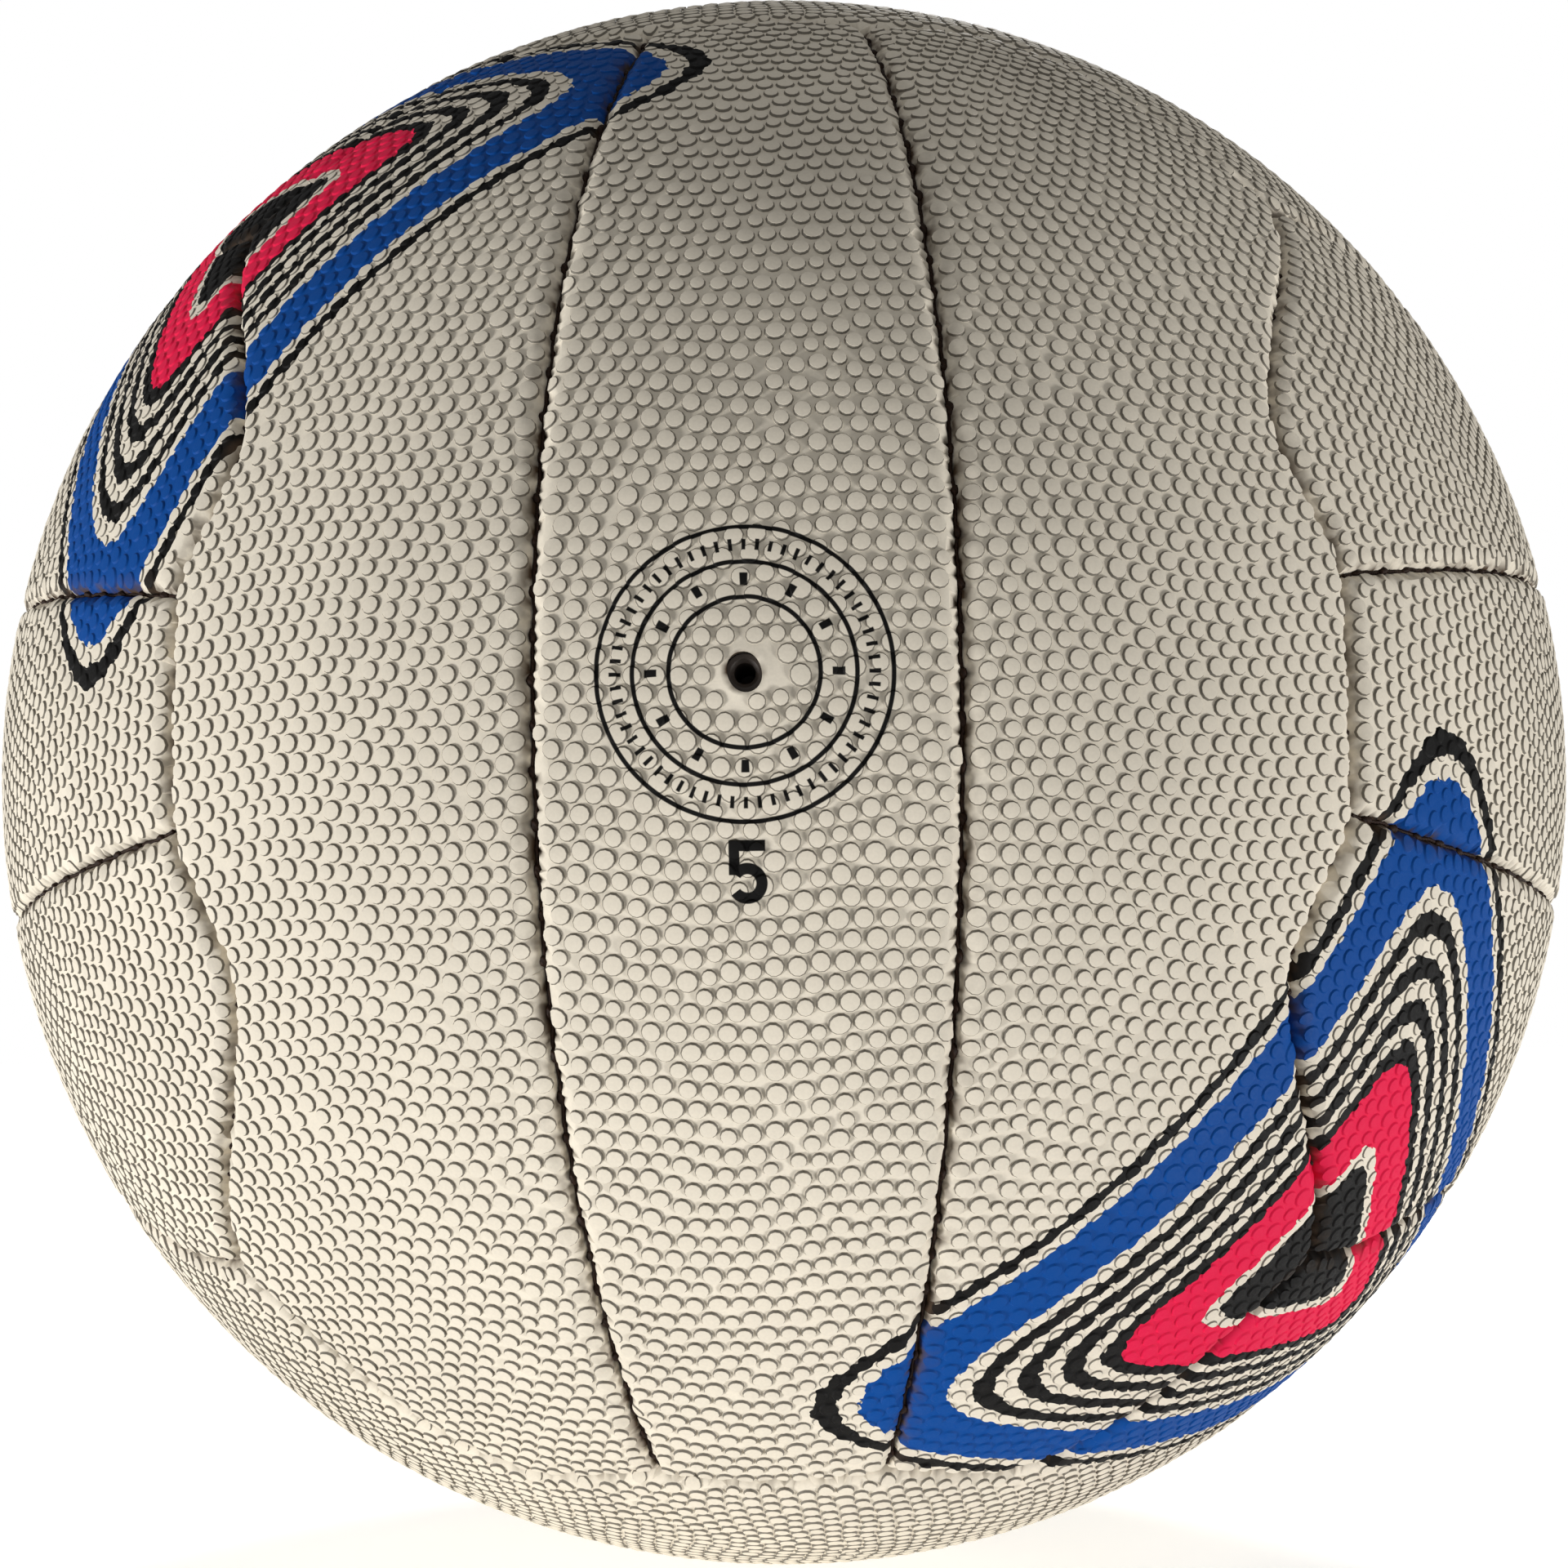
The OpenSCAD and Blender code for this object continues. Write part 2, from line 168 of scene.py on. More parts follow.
class NetballFinish(bpy.types.PropertyGroup):
    rubber: colour("Rubber", "Colour of the cover's rubber", "#E1D8C7")
    thread: colour("Thread", "Colour of the waxed thread", "#2A1A11")
    cloth: colour("Cloth", "Colour of the laminated backing cloth", "#E9E6DC")
    # This colour is also used as painted shade in the seams' creases and down the valve's hole
    dirt_and_shade: colour("Dirt", "Colour of the dirt that wax and hands leave in the seams", "#4A3A2C")
    black_rubber: colour("Black rubber", "Colour of the bladder", "#1D1D1F")
    brown_rubber: colour("Brown rubber", "Colour of the valve", "#21170F")


class NetballStage(bpy.types.PropertyGroup):
    floor: colour("Floor", "Colour of the floor", "#E6E6E4")
    distance: share("Distance", "Distance of the camera from the ball's centre, in radii", 2.983)
    yaw: angle("Yaw", "Turn of the ball about the vertical, as the camera sees it", -2.0645)
    pitch: angle("Pitch", "Tilt of the ball towards the camera", -5.794)
    roll: angle("Roll", "Roll of the ball", -0.683)
    focal_px: FloatProperty(name="Focal length", description="Focal length in pixels of the photograph", default=2681)


PHOTO_W_PX = 1920
BALL_CENTRE_V_PX = 958
SENSOR_W_MM = 36


def fill_inputs(tree, node, *values, **named):
    """Links or sets a node's inputs, in order or by name with _ for a space. A node stands for its first output."""
    places = list(enumerate(values)) + [(name.replace("_", " "), value) for name, value in named.items()]
    for place, value in places:
        if isinstance(value, bpy.types.Node):
            value = value.outputs[0]
        if isinstance(value, bpy.types.NodeSocket):
            tree.links.new(value, node.inputs[place])
        elif value is not None:
            node.inputs[place].default_value = value


def add_node(tree, kind, settings, *values, **named):
    """Adds a node with its inputs and its settings, which may be just the name of its operation."""
    node = tree.nodes.new("ShaderNode" + kind)
    for name, value in ({"operation": settings} if isinstance(settings, str) else settings).items():
        setattr(node, name, value)
    fill_inputs(tree, node, *values, **named)
    return node


def unit(rows):
    return rows / np.linalg.norm(rows, axis=-1, keepdims=True)


def axes_across(q, slant):
    """Two axes square to each direction and to each other. The slant is any axis that no direction lies on."""
    sideways = unit(np.cross(q, slant))
    return sideways, np.cross(q, sideways)


def blend(a, b, part):
    return a + (b - a) * part


def ease(part):
    part = np.clip(part, 0, 1)
    return part * part * (3 - 2 * part)


def waver(along, seams):
    """How far a sewn seam strays to one side of its line, the same before and behind its middle."""
    length = np.abs(along) * BALL_R / MM
    return seams.waver * sum(part * np.cos(length * rate) for part, rate in WAVER_WAVES)


def seam_reach(along, seams):
    """Reach of a face's long seam across it, as a share of the radius, at an angle along it."""
    a = np.abs(along)
    drawn_in = ease((a - seams.pinch_start) / (seams.pinch_angle - seams.pinch_start))
    back_out = ease((a - seams.pinch_angle) / (seams.pinch_end - seams.pinch_angle))
    smooth = blend(blend(seams.middle_share, seams.pinch_share, drawn_in), CORNER_SHARE, back_out)
    return smooth + waver(along, seams) / BALL_R * ease((CORNER_ANGLE - a) / STEADY_ANGLE)


def junction_angle(seams):
    """Angle along a long seam at which the neighbour's middle seam meets it."""
    slope = math.tan(seams.middle_half_angle)
    found = seams.middle_half_angle
    for _ in range(8):
        s = float(seam_reach(found, seams))
        found = math.asin(slope * s / math.sqrt(1 - s * s))
    return found


# Directions on a face are (outward, along, across)
def middle_seam(along, sign, seams):
    """Points of a middle panel's straight seam, a great circle, on the side given by the sign."""
    rise = sign * (math.tan(seams.middle_half_angle) * np.cos(along) + waver(along, seams) / BALL_R)
    return unit(np.stack([np.cos(along), np.sin(along), rise], axis=-1))


def long_seam(along, seams):
    """Points of a face's own long seam."""
    s = seam_reach(along, seams)
    rest = np.sqrt(1 - s * s)
    return np.stack([rest * np.cos(along), rest * np.sin(along), s], axis=-1)


def end_seam(along, sign, seams):
    """Points of the neighbouring face's long seam, which ends this face's strips."""
    s = seam_reach(along, seams)
    rest = np.sqrt(1 - s * s)
    return np.stack([s, sign * rest * np.cos(along), rest * np.sin(along)], axis=-1)


class SeamLine:
    """One edge of a panel: close points along its seam, the way into the panel, and the length along it."""

    COUNT = 601

    def __init__(self, path, reach, panel_centre):
        self.points = path(np.linspace(-reach, reach, self.COUNT))
        way = unit(np.gradient(self.points, axis=0))
        inward = unit(np.cross(self.points, way))
        middle = self.COUNT // 2
        if inward[middle] @ (panel_centre - self.points[middle]) < 0:
            inward = -inward
        self.inward = inward
        steps = np.linalg.norm(np.diff(self.points, axis=0), axis=1) * BALL_R
        length = np.concatenate([[0], np.cumsum(steps)])
        self.length = length - length[middle]

    def nearest(self, q):
        """The index of the seam's point that is nearest to each direction."""
        return np.argmax(q.astype(np.float32) @ self.points.T.astype(np.float32), axis=1)

    def distance(self, q, i):
        """Each direction's distance into the panel, from its nearest point's seam."""
        return np.einsum("ij,ij->i", q - self.points[i], self.inward[i]) * BALL_R


# How far wax dirt and painted shade spread from a seam over the panel that stands proud there, and over the one that
# dips
PROUD_STAIN_AND_SHADE_W, SLACK_STAIN_AND_SHADE_W = 0.3 * MM, 2.2 * MM
# How dark the wax dirt and painted shade are beside the straight seams and beside the waving ones, and how steeply
# they fade
MIDDLE_STAIN_AND_SHADE, LONG_STAIN_AND_SHADE, STAIN_AND_SHADE_FALL = 1.0, 0.75, 1.7
# Distance over which the surface's slope is taken
SLOPE_STEP = 0.03 * MM
# How much of the way straight out is mixed into the way that a pimple stands
UPRIGHT_SHARE = 0.25


class PanelShape:
    """The outline and the surface of a panel, on a face's own axes."""

    def __init__(self, kind, seams):
        self.seams = seams
        middle = kind == "middle"
        width = 0 if middle else (math.tan(seams.middle_half_angle) + seams.middle_share) / 2
        self.centre = unit(np.array([1.0, 0, width / math.sqrt(1 - width * width)]))
        paths = [
            lambda a: middle_seam(a, -1 if middle else 1, seams),
            lambda a: end_seam(a, 1, seams),
            lambda a: middle_seam(a, 1, seams) if middle else long_seam(a, seams),
            lambda a: end_seam(a, -1, seams),
        ]
        far_reach = MIDDLE_SEAM_REACH if middle else LONG_SEAM_REACH
        reaches = (MIDDLE_SEAM_REACH, LONG_SEAM_REACH, far_reach, LONG_SEAM_REACH)
        self.edges = [SeamLine(path, reach, self.centre) for path, reach in zip(paths, reaches)]
        near, _, far, _ = self.edges
        for edge in self.edges:
            proud = edge is far or (middle and edge is near)
            edge.shoulder_w = seams.tight_shoulder_w if proud else seams.slack_shoulder_w
            edge.bare_margin = 0 if proud else seams.bare_margin
            edge.stain_w = PROUD_STAIN_AND_SHADE_W if proud else SLACK_STAIN_AND_SHADE_W
            edge.stain = MIDDLE_STAIN_AND_SHADE if edge is near or (middle and edge is far) else LONG_STAIN_AND_SHADE

        junction = junction_angle(seams)
        first, last = (-junction, junction) if middle else (junction, CORNER_ANGLE)
        near_end, far_end = [math.atan2(*end_seam(np.array(a), 1, seams)[[1, 0]]) for a in (first, last)]
        self.sides = list(zip(paths, ((-near_end, near_end), (first, last), (far_end, -far_end), (last, first))))

    def outline(self, step):
        """Directions once round the panel's seams, counterclockwise from outside."""
        loop = []
        for path, (start, stop) in self.sides:
            fine = path(np.linspace(start, stop, 200))
            length = np.linalg.norm(np.diff(fine, axis=0), axis=1).sum() * BALL_R
            count = max(4, round(length / step))
            loop.append(path(np.linspace(start, stop, count + 1)[:-1]))
        return np.concatenate(loop)

    def inset(self, q):
        """Least distance of each direction into the panel from its seams."""
        return np.min([edge.distance(q, edge.nearest(q)) for edge in self.edges], axis=0)

    def push_in(self, q, margin):
        """Moves each direction into the panel until it lies at the margin from every seam."""
        for _ in range(4):
            for edge in self.edges:
                i = edge.nearest(q)
                short = np.maximum(0, margin - edge.distance(q, i)) / BALL_R
                q = unit(q + edge.inward[i] * short[:, None])
        return q

    def rise(self, q, nearest):
        """Height of the outer surface from the ball's centre: rounded shoulders fall to the seams."""
        seams = self.seams
        total = np.zeros(len(q))
        for edge, i in zip(self.edges, nearest):
            pull = 1 + seams.pucker * np.cos(2 * np.pi * edge.length[i] / seams.stitch_pitch)
            part = np.clip((edge.distance(q, i) - seams.gap / 2) / (edge.shoulder_w * pull), 0, 1)
            fall = seams.shoulder_depth * (1 - np.sqrt(1 - (1 - part) ** 2))
            total += fall ** 3
        return BALL_R - np.cbrt(total)

    def wax_and_shade(self, q):
        """How much dirt from the thread's wax and painted shade in the seam's crease darken each place: they gather
        on the panel that dips.
        """
        stain = np.zeros(len(q))
        for edge in self.edges:
            distance = edge.distance(q, edge.nearest(q)) - self.seams.gap / 2
            stain = np.maximum(stain, edge.stain * np.clip(1 - distance / edge.stain_w, 0, 1) ** STAIN_AND_SHADE_FALL)
        return stain

    def surface(self, q):
        """Points of the outer surface and its normals."""
        nearest = [edge.nearest(q) for edge in self.edges]
        step = SLOPE_STEP / BALL_R
        sideways, upwards = axes_across(q, [0.31, 0.67, 0.12])
        slopes = []
        for way in (sideways, upwards):
            after, before = unit(q + way * step), unit(q - way * step)
            slopes.append(after * self.rise(after, nearest)[:, None] - before * self.rise(before, nearest)[:, None])
        normals = unit(np.cross(*slopes))
        return q * self.rise(q, nearest)[:, None], unit(normals + UPRIGHT_SHARE * q)


# The rim's inner edge: how much it is rounded off, and over what share of the rim's width
LIP_ROUNDING, LIP_SHARE = 0.6, 0.18
# The darkening round the valve's hole: how dark it is, the width over which it fades, the share of the hole's radius
# that this is measured from, and how many such widths it reaches
HOLE_DARKENING, HOLE_DARKENING_W, HOLE_DARKENING_START, HOLE_DARKENING_REACH = 0.9, 0.6 * MM, 0.9, 1.15
# The valve's hole: its sides, how far it is out of round, and how far its wall widens at a depth below the cover
HOLE_SIDES, HOLE_STRETCH, HOLE_FLARE, LIP_DEPTH = 40, -0.1, 0.25 * MM, 0.55 * MM
# Distances past the hole of the rings of points that carry its rim, and their sides
RIM_RINGS_MM, RIM_SIDES = (0.3, 0.55, 0.9, 1.4), 26


class ValvePanelShape(PanelShape):
    """The front middle panel, with a low rim round the valve's hole."""

    def __init__(self, seams, valve):
        super().__init__("middle", seams)
        self.hole_r, self.rim_r, self.rim_h = valve.hole_r, valve.rim_r, valve.rim_h

    def rise(self, q, nearest):
        off_axis = np.linalg.norm(q[:, 1:], axis=1) * BALL_R
        part = (off_axis - self.hole_r) / (self.rim_r - self.hole_r)
        lip = self.rim_h * (1 - ease(part)) * (1 - LIP_ROUNDING * np.clip(1 - part / LIP_SHARE, 0, 1) ** 2)
        return super().rise(q, nearest) + lip

    def wax_and_shade(self, q):
        # The surface is also darker round the hole's edge, fading outwards
        off_axis = np.linalg.norm(q[:, 1:], axis=1) * BALL_R
        widths = (off_axis - HOLE_DARKENING_START * self.hole_r) / HOLE_DARKENING_W
        return np.maximum(super().wax_and_shade(q), HOLE_DARKENING * np.clip(HOLE_DARKENING_REACH - widths, 0, 1) * (q[:, 0] > 0))


def axes_about(centre):
    """Two axes square to a panel's centre: across its strip and along it."""
    along = np.array([0.0, 1, 0])
    across = np.cross(centre, along)
    return unit(across), along


# Reach of the rows of pimples along a panel and across it, before they are cut to its outline
ROWS_REACH, COLUMNS_REACH = 125 * MM, 42 * MM
# Length over which the rows and columns wave, and how far they sway and ripple
ROW_WAVE_L = 40 * MM
ROW_SWAY, ROW_RIPPLE = 1.0 * MM, 0.5 * MM
COLUMN_SWAY, COLUMN_RIPPLE = 0.9 * MM, 0.5 * MM
# Waves that the rows' sway, their ripple and the columns' ripple make over that length
ROW_SWAY_WAVES, ROW_RIPPLE_WAVES, COLUMN_RIPPLE_WAVES = 1.1, 1.7, 1.6
# Longest chord of the ball, as a share of its radius, that the flat rows are wrapped over
LONGEST_CHORD_SHARE = 1.9
# Room that pimples are given between their feet while they are spread out, and how far past the seams they start
ROOM_BETWEEN, OUTSIDE = 0.2 * MM, 1.6 * MM
# Rounds in which pimples push each other apart, the share of a push made in each, and others that each one feels
PUSH_ROUNDS, PUSH_SHARE, OTHERS = 12, 0.4, 9
# Most deviations by which a pimple's size may differ from the usual one
MOST_DEVIATIONS = 1.8
# How far short of its room beside a seam a pimple may be for the seam to move it
SEAM_PUSH_W = 1.3 * MM
# Bare width round the valve's hole, and how far a pimple may still reach into the bare margin beside a seam
HOLE_MARGIN, MARGIN_SLACK = 0.2 * MM, 0.1 * MM
# Smallest radius of a pimple, and least distance of its centre from a seam that its panel stands proud at
LEAST_PIMPLE_R, LEAST_INSET = 0.5 * MM, 0.7 * MM


def neighbours(q, count):
    """The indices of each direction's nearest others."""
    closeness = q.astype(np.float32) @ q.T.astype(np.float32)
    np.fill_diagonal(closeness, -1)
    return np.argpartition(closeness, -count, axis=1)[:, -count:]


def spread_pimples(shape, pimples, rng):
    """Directions and radii of a panel's pimples: close-packed rows that wave, and are never quite even."""
    across, along = axes_about(shape.centre)
    pitch = pimples.pitch
    row_pitch = pitch * math.sqrt(3) / 2
    rows, columns = int(ROWS_REACH / row_pitch), int(COLUMNS_REACH / pitch)
    row, column = np.meshgrid(np.arange(-rows, rows + 1), np.arange(-columns, columns + 1), indexing="ij")
    v = (row * row_pitch).ravel()
    u = ((column + 0.5 * (row % 2)) * pitch).ravel()
    phase = rng.uniform(0, 2 * np.pi, 6)
    wave = 2 * np.pi / ROW_WAVE_L
    v_waved = (v + ROW_SWAY * np.sin(wave * u * ROW_SWAY_WAVES + phase[0])
               + ROW_RIPPLE * np.sin(wave * (ROW_RIPPLE_WAVES * u + v) + phase[1]))
    u_waved = (u + COLUMN_SWAY * np.sin(wave * v + phase[2])
               + COLUMN_RIPPLE * np.sin(wave * (COLUMN_RIPPLE_WAVES * v - u) + phase[3]))
    flat = np.stack([u_waved, v_waved], axis=1) + rng.normal(0, pimples.jitter, (len(u), 2))
    length = np.linalg.norm(flat, axis=1) / BALL_R
    flat, length = flat[length < LONGEST_CHORD_SHARE], length[length < LONGEST_CHORD_SHARE]
    tilt = 2 * np.arcsin(length / 2)
    way = unit(flat + 1e-12)
    q = (np.cos(tilt)[:, None] * shape.centre
         + np.sin(tilt)[:, None] * (way[:, :1] * across + way[:, 1:] * along))
    q = q[shape.inset(q) > -OUTSIDE]
    deviation = rng.normal(0, 1, len(q)).clip(-MOST_DEVIATIONS, MOST_DEVIATIONS)
    radius = pimples.diameter / 2 * (1 + pimples.spread * deviation)
    for step in range(PUSH_ROUNDS):
        if step % 3 == 0:
            others = neighbours(q, OTHERS)
        offset = q[:, None] - q[others]
        distance = np.linalg.norm(offset, axis=2)
        wanted = (radius[:, None] + radius[others] + ROOM_BETWEEN) / BALL_R
        push = np.clip(wanted - distance, 0, 0.5 * wanted) / distance
        q = unit(q + PUSH_SHARE * (offset * push[..., None]).sum(axis=1))
        for edge in shape.edges:
            i = edge.nearest(q)
            short = (edge.bare_margin + radius if edge.bare_margin else 0) - edge.distance(q, i)
            moved = np.where((short > 0) & (short < SEAM_PUSH_W), short / BALL_R, 0)
            q = unit(q + edge.inward[i] * moved[:, None])
    others = neighbours(q, OTHERS)
    distance = np.linalg.norm(q[:, None] - q[others], axis=2) * BALL_R
    overlap = radius[:, None] + radius[others] + pimples.least_gap - distance
    radius = radius - np.clip(overlap, 0, None).max(axis=1) / 2
    keep = radius > LEAST_PIMPLE_R
    for edge in shape.edges:
        least = edge.bare_margin + radius - MARGIN_SLACK if edge.bare_margin else LEAST_INSET
        keep &= edge.distance(q, edge.nearest(q)) > least
    if isinstance(shape, ValvePanelShape):
        off_axis = np.linalg.norm(q[:, 1:], axis=1) * BALL_R
        keep &= (q[:, 0] > 0) & (off_axis > shape.hole_r * (1 + abs(HOLE_STRETCH)) + radius + HOLE_MARGIN)
    return q[keep], radius[keep]


# A pimple's profile, from its foot to the edge of its flat top: share of its radius, share of its height
PIMPLE_PROFILE = ((1.0, 0.0), (0.82, 0.78))
# Angle between two faces over which their edge is sharp, so that a pimple's flat top has a crisp rim
SHARP_ANGLE = math.radians(38)
# How much a pimple's height varies, the most deviations, and its least share beside a seam
HEIGHT_SPREAD, MOST_HEIGHT_DEVIATIONS, SEAM_HEIGHT_SHARE = 0.05, 2, 0.4
# Width beside a seam over which the pimples grow to their full height
GROWTH_W = 2.0 * MM
# How far a pimple is drawn out of round, as a share of its radius
STRETCH_SHARE = 0.055
# Least distance of a pimple's foot from the fold in a seam
FOOT_MARGIN = 0.14 * MM
# Distances into a panel of the rows of points that carry its rounded shoulder
SHOULDER_ROWS_MM = (0.3, 0.7, 1.25, 1.95, 2.8)
# Distances from one point to the next along a seam, a shoulder's row, the turned-in edge and the underside
SEAM_STEP, ROW_STEP, TURNED_IN_STEP, UNDERSIDE_STEP = 1.05 * MM, 1.5 * MM, 2 * MM, 9 * MM
# Least room round the shoulder's points, the rim's and the underside's, and round a pimple's foot
SHOULDER_ROOM, RIM_ROOM, UNDERSIDE_ROOM, FOOT_ROOM = 0.45 * MM, 0.1 * MM, 1.2 * MM, 0.18 * MM
# Distance from the seams at which the underside has points below pimples, and one in how many pimples has one
UNDER_INSET, UNDER_EVERY = 14 * MM, 9


class SheetMesh:
    """Vertices and faces being gathered for one panel, with each vertex's relief and its wax dirt and painted shade.
    """

    def __init__(self):
        self.vertices, self.faces, self.relief, self.wax_and_shade, self.lift = [], [], [], [], []
        self.count = 0

    def add(self, points, relief, wax_and_shade, lift=0):
        first = self.count
        self.count += len(points)
        self.vertices.append(points)
        self.relief.append(np.broadcast_to(relief, len(points)))
        self.wax_and_shade.append(np.broadcast_to(wax_and_shade, len(points)))
        self.lift.append(np.broadcast_to(lift, len(points)))
        return np.arange(first, self.count)

    def bridge(self, lower, upper):
        """Joins rings of vertices, one or many, whose outer side is to the right of their direction."""
        after_lower, after_upper = np.roll(lower, -1, axis=-1), np.roll(upper, -1, axis=-1)
        quads = np.stack([lower, after_lower, after_upper, upper], axis=-1)
        self.faces.extend(quads.reshape(-1, 4).tolist())


def flatten(q, centre):
    """A conformal map of directions to a plane, in millimetres, so that triangles keep their shape."""
    across, along = axes_about(centre)
    scale = 2 * BALL_R / MM / (1 + q @ centre)
    return np.stack([(q @ along) * scale, (q @ across) * scale], axis=1)


# Distance in millimetres at which two points count as one
SAME_POINT_MM = 1e-7


def triangulate(q, rings, centre):
    """Triangles among directions, inside the first ring and outside all the others.
    Rings run counterclockwise and their indices rise, so a triangle on one ring tells its side by its turn."""
    flat = flatten(q, centre)
    edges = [(int(a), int(b)) for ring in rings for a, b in zip(ring, np.roll(ring, -1))]
    _, _, faces, origins, _, _ = delaunay_2d_cdt([Vector(p) for p in flat], edges, [], 0, SAME_POINT_MM, True)
    if len(origins) != len(q):
        raise RuntimeError("the panel's points crossed")
    source = np.array([o[0] for o in origins])
    triangles = np.sort(source[np.array(faces)], axis=1)
    corners = flat[triangles]
    one, two = corners[:, 1] - corners[:, 0], corners[:, 2] - corners[:, 0]
    left_turn = one[:, 0] * two[:, 1] - one[:, 1] * two[:, 0] > 0
    ring_of = np.full(len(q), -1)
    for i, ring in enumerate(rings):
        ring_of[ring] = i
    of = ring_of[triangles]
    on_one_ring = (of[:, 0] >= 0) & (of[:, 0] == of[:, 1]) & (of[:, 0] == of[:, 2])
    keep = ~on_one_ring | ((of[:, 0] == 0) == left_turn)
    return np.where(left_turn[:, None], triangles, triangles[:, ::-1])[keep]


def thin_out(q, least, others, other_radii):
    """Leaves out directions that lie too close to each other or within the given discs."""
    if len(others):
        reach = np.linalg.norm(q[:, None] - others[None], axis=2) * BALL_R
        q = q[(reach > other_radii + FOOT_ROOM).all(axis=1)]
    distance = np.linalg.norm(q[:, None] - q[None], axis=2) * BALL_R
    close = distance < least
    kept = np.ones(len(q), bool)
    for i in range(len(q)):
        if kept[i]:
            kept[i + 1:] &= ~close[i, i + 1:]
    return q[kept]


def ring_about(q, radius, count, turn, stretch):
    """A ring of directions round each centre."""
    sideways, upwards = axes_across(q, [0.17, 0.93, 0.31])
    a = turn[:, None] + np.arange(count)[None] * 2 * np.pi / count
    reach = (radius / BALL_R)[:, None] * (1 + stretch[:, None] * np.cos(2 * a))
    way = np.cos(a)[..., None] * sideways[:, None] + np.sin(a)[..., None] * upwards[:, None]
    return unit(q[:, None] + reach[..., None] * way)


def make_panel_mesh(name, shape, pimples, seed):
    """A whole panel: its pimpled sheet with rounded shoulders, turned-in edge and plain underside."""
    seams = shape.seams
    rng = np.random.default_rng(seed)
    centres, radii = spread_pimples(shape, pimples, rng)
    half_gap = seams.gap / 2

    seam_points = shape.outline(SEAM_STEP)
    fold = shape.push_in(seam_points, half_gap)
    count = len(centres)
    turn = rng.uniform(0, 2 * np.pi, count)
    stretch = rng.uniform(-STRETCH_SHARE, STRETCH_SHARE, count)
    feet = ring_about(centres, radii, pimples.sides, turn, stretch).reshape(-1, 3)
    feet = shape.push_in(feet, half_gap + FOOT_MARGIN)
    feet = feet.reshape(count, pimples.sides, 3)
    middles = unit(feet.mean(axis=1))

    rows = [shape.push_in(shape.outline(ROW_STEP), half_gap + row * MM) for row in SHOULDER_ROWS_MM]
    shoulder = thin_out(np.concatenate(rows), SHOULDER_ROOM, centres, radii)
    has_valve = isinstance(shape, ValvePanelShape)
    valve_axis = np.array([[1.0, 0, 0]])
    if has_valve:
        none, radius = np.zeros(1), np.array([shape.hole_r])
        hole = ring_about(valve_axis, radius, HOLE_SIDES, none, np.full(1, HOLE_STRETCH))[0]
        hole_below = ring_about(valve_axis, radius + HOLE_FLARE, HOLE_SIDES, none, none)[0]
        rim = [ring_about(valve_axis, radius + step * MM, RIM_SIDES, none, none)[0] for step in RIM_RINGS_MM]
        shoulder = np.concatenate([shoulder, thin_out(np.concatenate(rim), RIM_ROOM, centres, radii)])

    mesh = SheetMesh()
    directions = [fold, feet.reshape(-1, 3), shoulder] + ([hole] if has_valve else [])
    q = np.concatenate(directions)
    points, normals = shape.surface(q)
    ground = mesh.add(points, 0, shape.wax_and_shade(q))
    fold_ring = ground[:len(fold)]
    foot_rings = ground[len(fold):len(fold) + count * pimples.sides].reshape(count, pimples.sides)
    rings = [fold_ring] + list(foot_rings)
    if has_valve:
        hole_ring = ground[-HOLE_SIDES:]
        rings.append(hole_ring)
    mesh.faces.extend(triangulate(q, rings, shape.centre).tolist())

    inset = shape.inset(middles)
    tip_wax_and_shade = shape.wax_and_shade(middles)
    height = pimples.height * blend(SEAM_HEIGHT_SHARE, 1.0, ease((inset - half_gap) / GROWTH_W))
    deviation = rng.normal(0, 1, count).clip(-MOST_HEIGHT_DEVIATIONS, MOST_HEIGHT_DEVIATIONS)
    height = height * (1 + HEIGHT_SPREAD * deviation)
    lower = foot_rings
    for width, rise in PIMPLE_PROFILE[1:]:
        ring_q = unit(middles[:, None] + width * (feet - middles[:, None])).reshape(-1, 3)
        points, normals = shape.surface(ring_q)
        lift = np.repeat(height * rise, pimples.sides)
        ring = mesh.add(points + normals * lift[:, None], 1, np.repeat(tip_wax_and_shade, pimples.sides), lift)
        ring = ring.reshape(count, pimples.sides)
        mesh.bridge(lower, ring)
        lower = ring
    points, normals = shape.surface(middles)
    tips = mesh.add(points + normals * height[:, None], 1, tip_wax_and_shade, height)
    for k in range(pimples.sides):
        following = lower[:, (k + 1) % pimples.sides]
        mesh.faces.extend(np.stack([lower[:, k], following, tips], axis=1).tolist())

    # Painted shade, with the seam's dirt: the turned-in edge darkens fully towards its foot, deep in the gap between
    # panels
    foot = mesh.add(fold * (BALL_R - seams.turn_in_depth), 0, 1)
    mesh.bridge(foot, fold_ring)
    turned_in = shape.push_in(shape.outline(TURNED_IN_STEP), half_gap + seams.cover_t)
    inner = shape.push_in(shape.outline(UNDERSIDE_STEP), UNDERSIDE_STEP)
    under = np.concatenate([turned_in, inner, centres[shape.inset(centres) > UNDER_INSET][::UNDER_EVERY]])
    under = thin_out(under, UNDERSIDE_ROOM, *([valve_axis, shape.hole_r] if has_valve else [fold[:0], 0]))
    under_q = np.concatenate([fold, under] + ([hole_below] if has_valve else []))
    under_points = mesh.add(under_q[len(fold):] * (BALL_R - seams.cover_t), 0, 0)
    under_index = np.concatenate([foot, under_points])
    local = np.arange(len(under_q))
    under_rings = [local[:len(fold)]] + ([local[-HOLE_SIDES:]] if has_valve else [])
    mesh.faces.extend(under_index[triangulate(under_q, under_rings, shape.centre)[:, ::-1]].tolist())
    if has_valve:
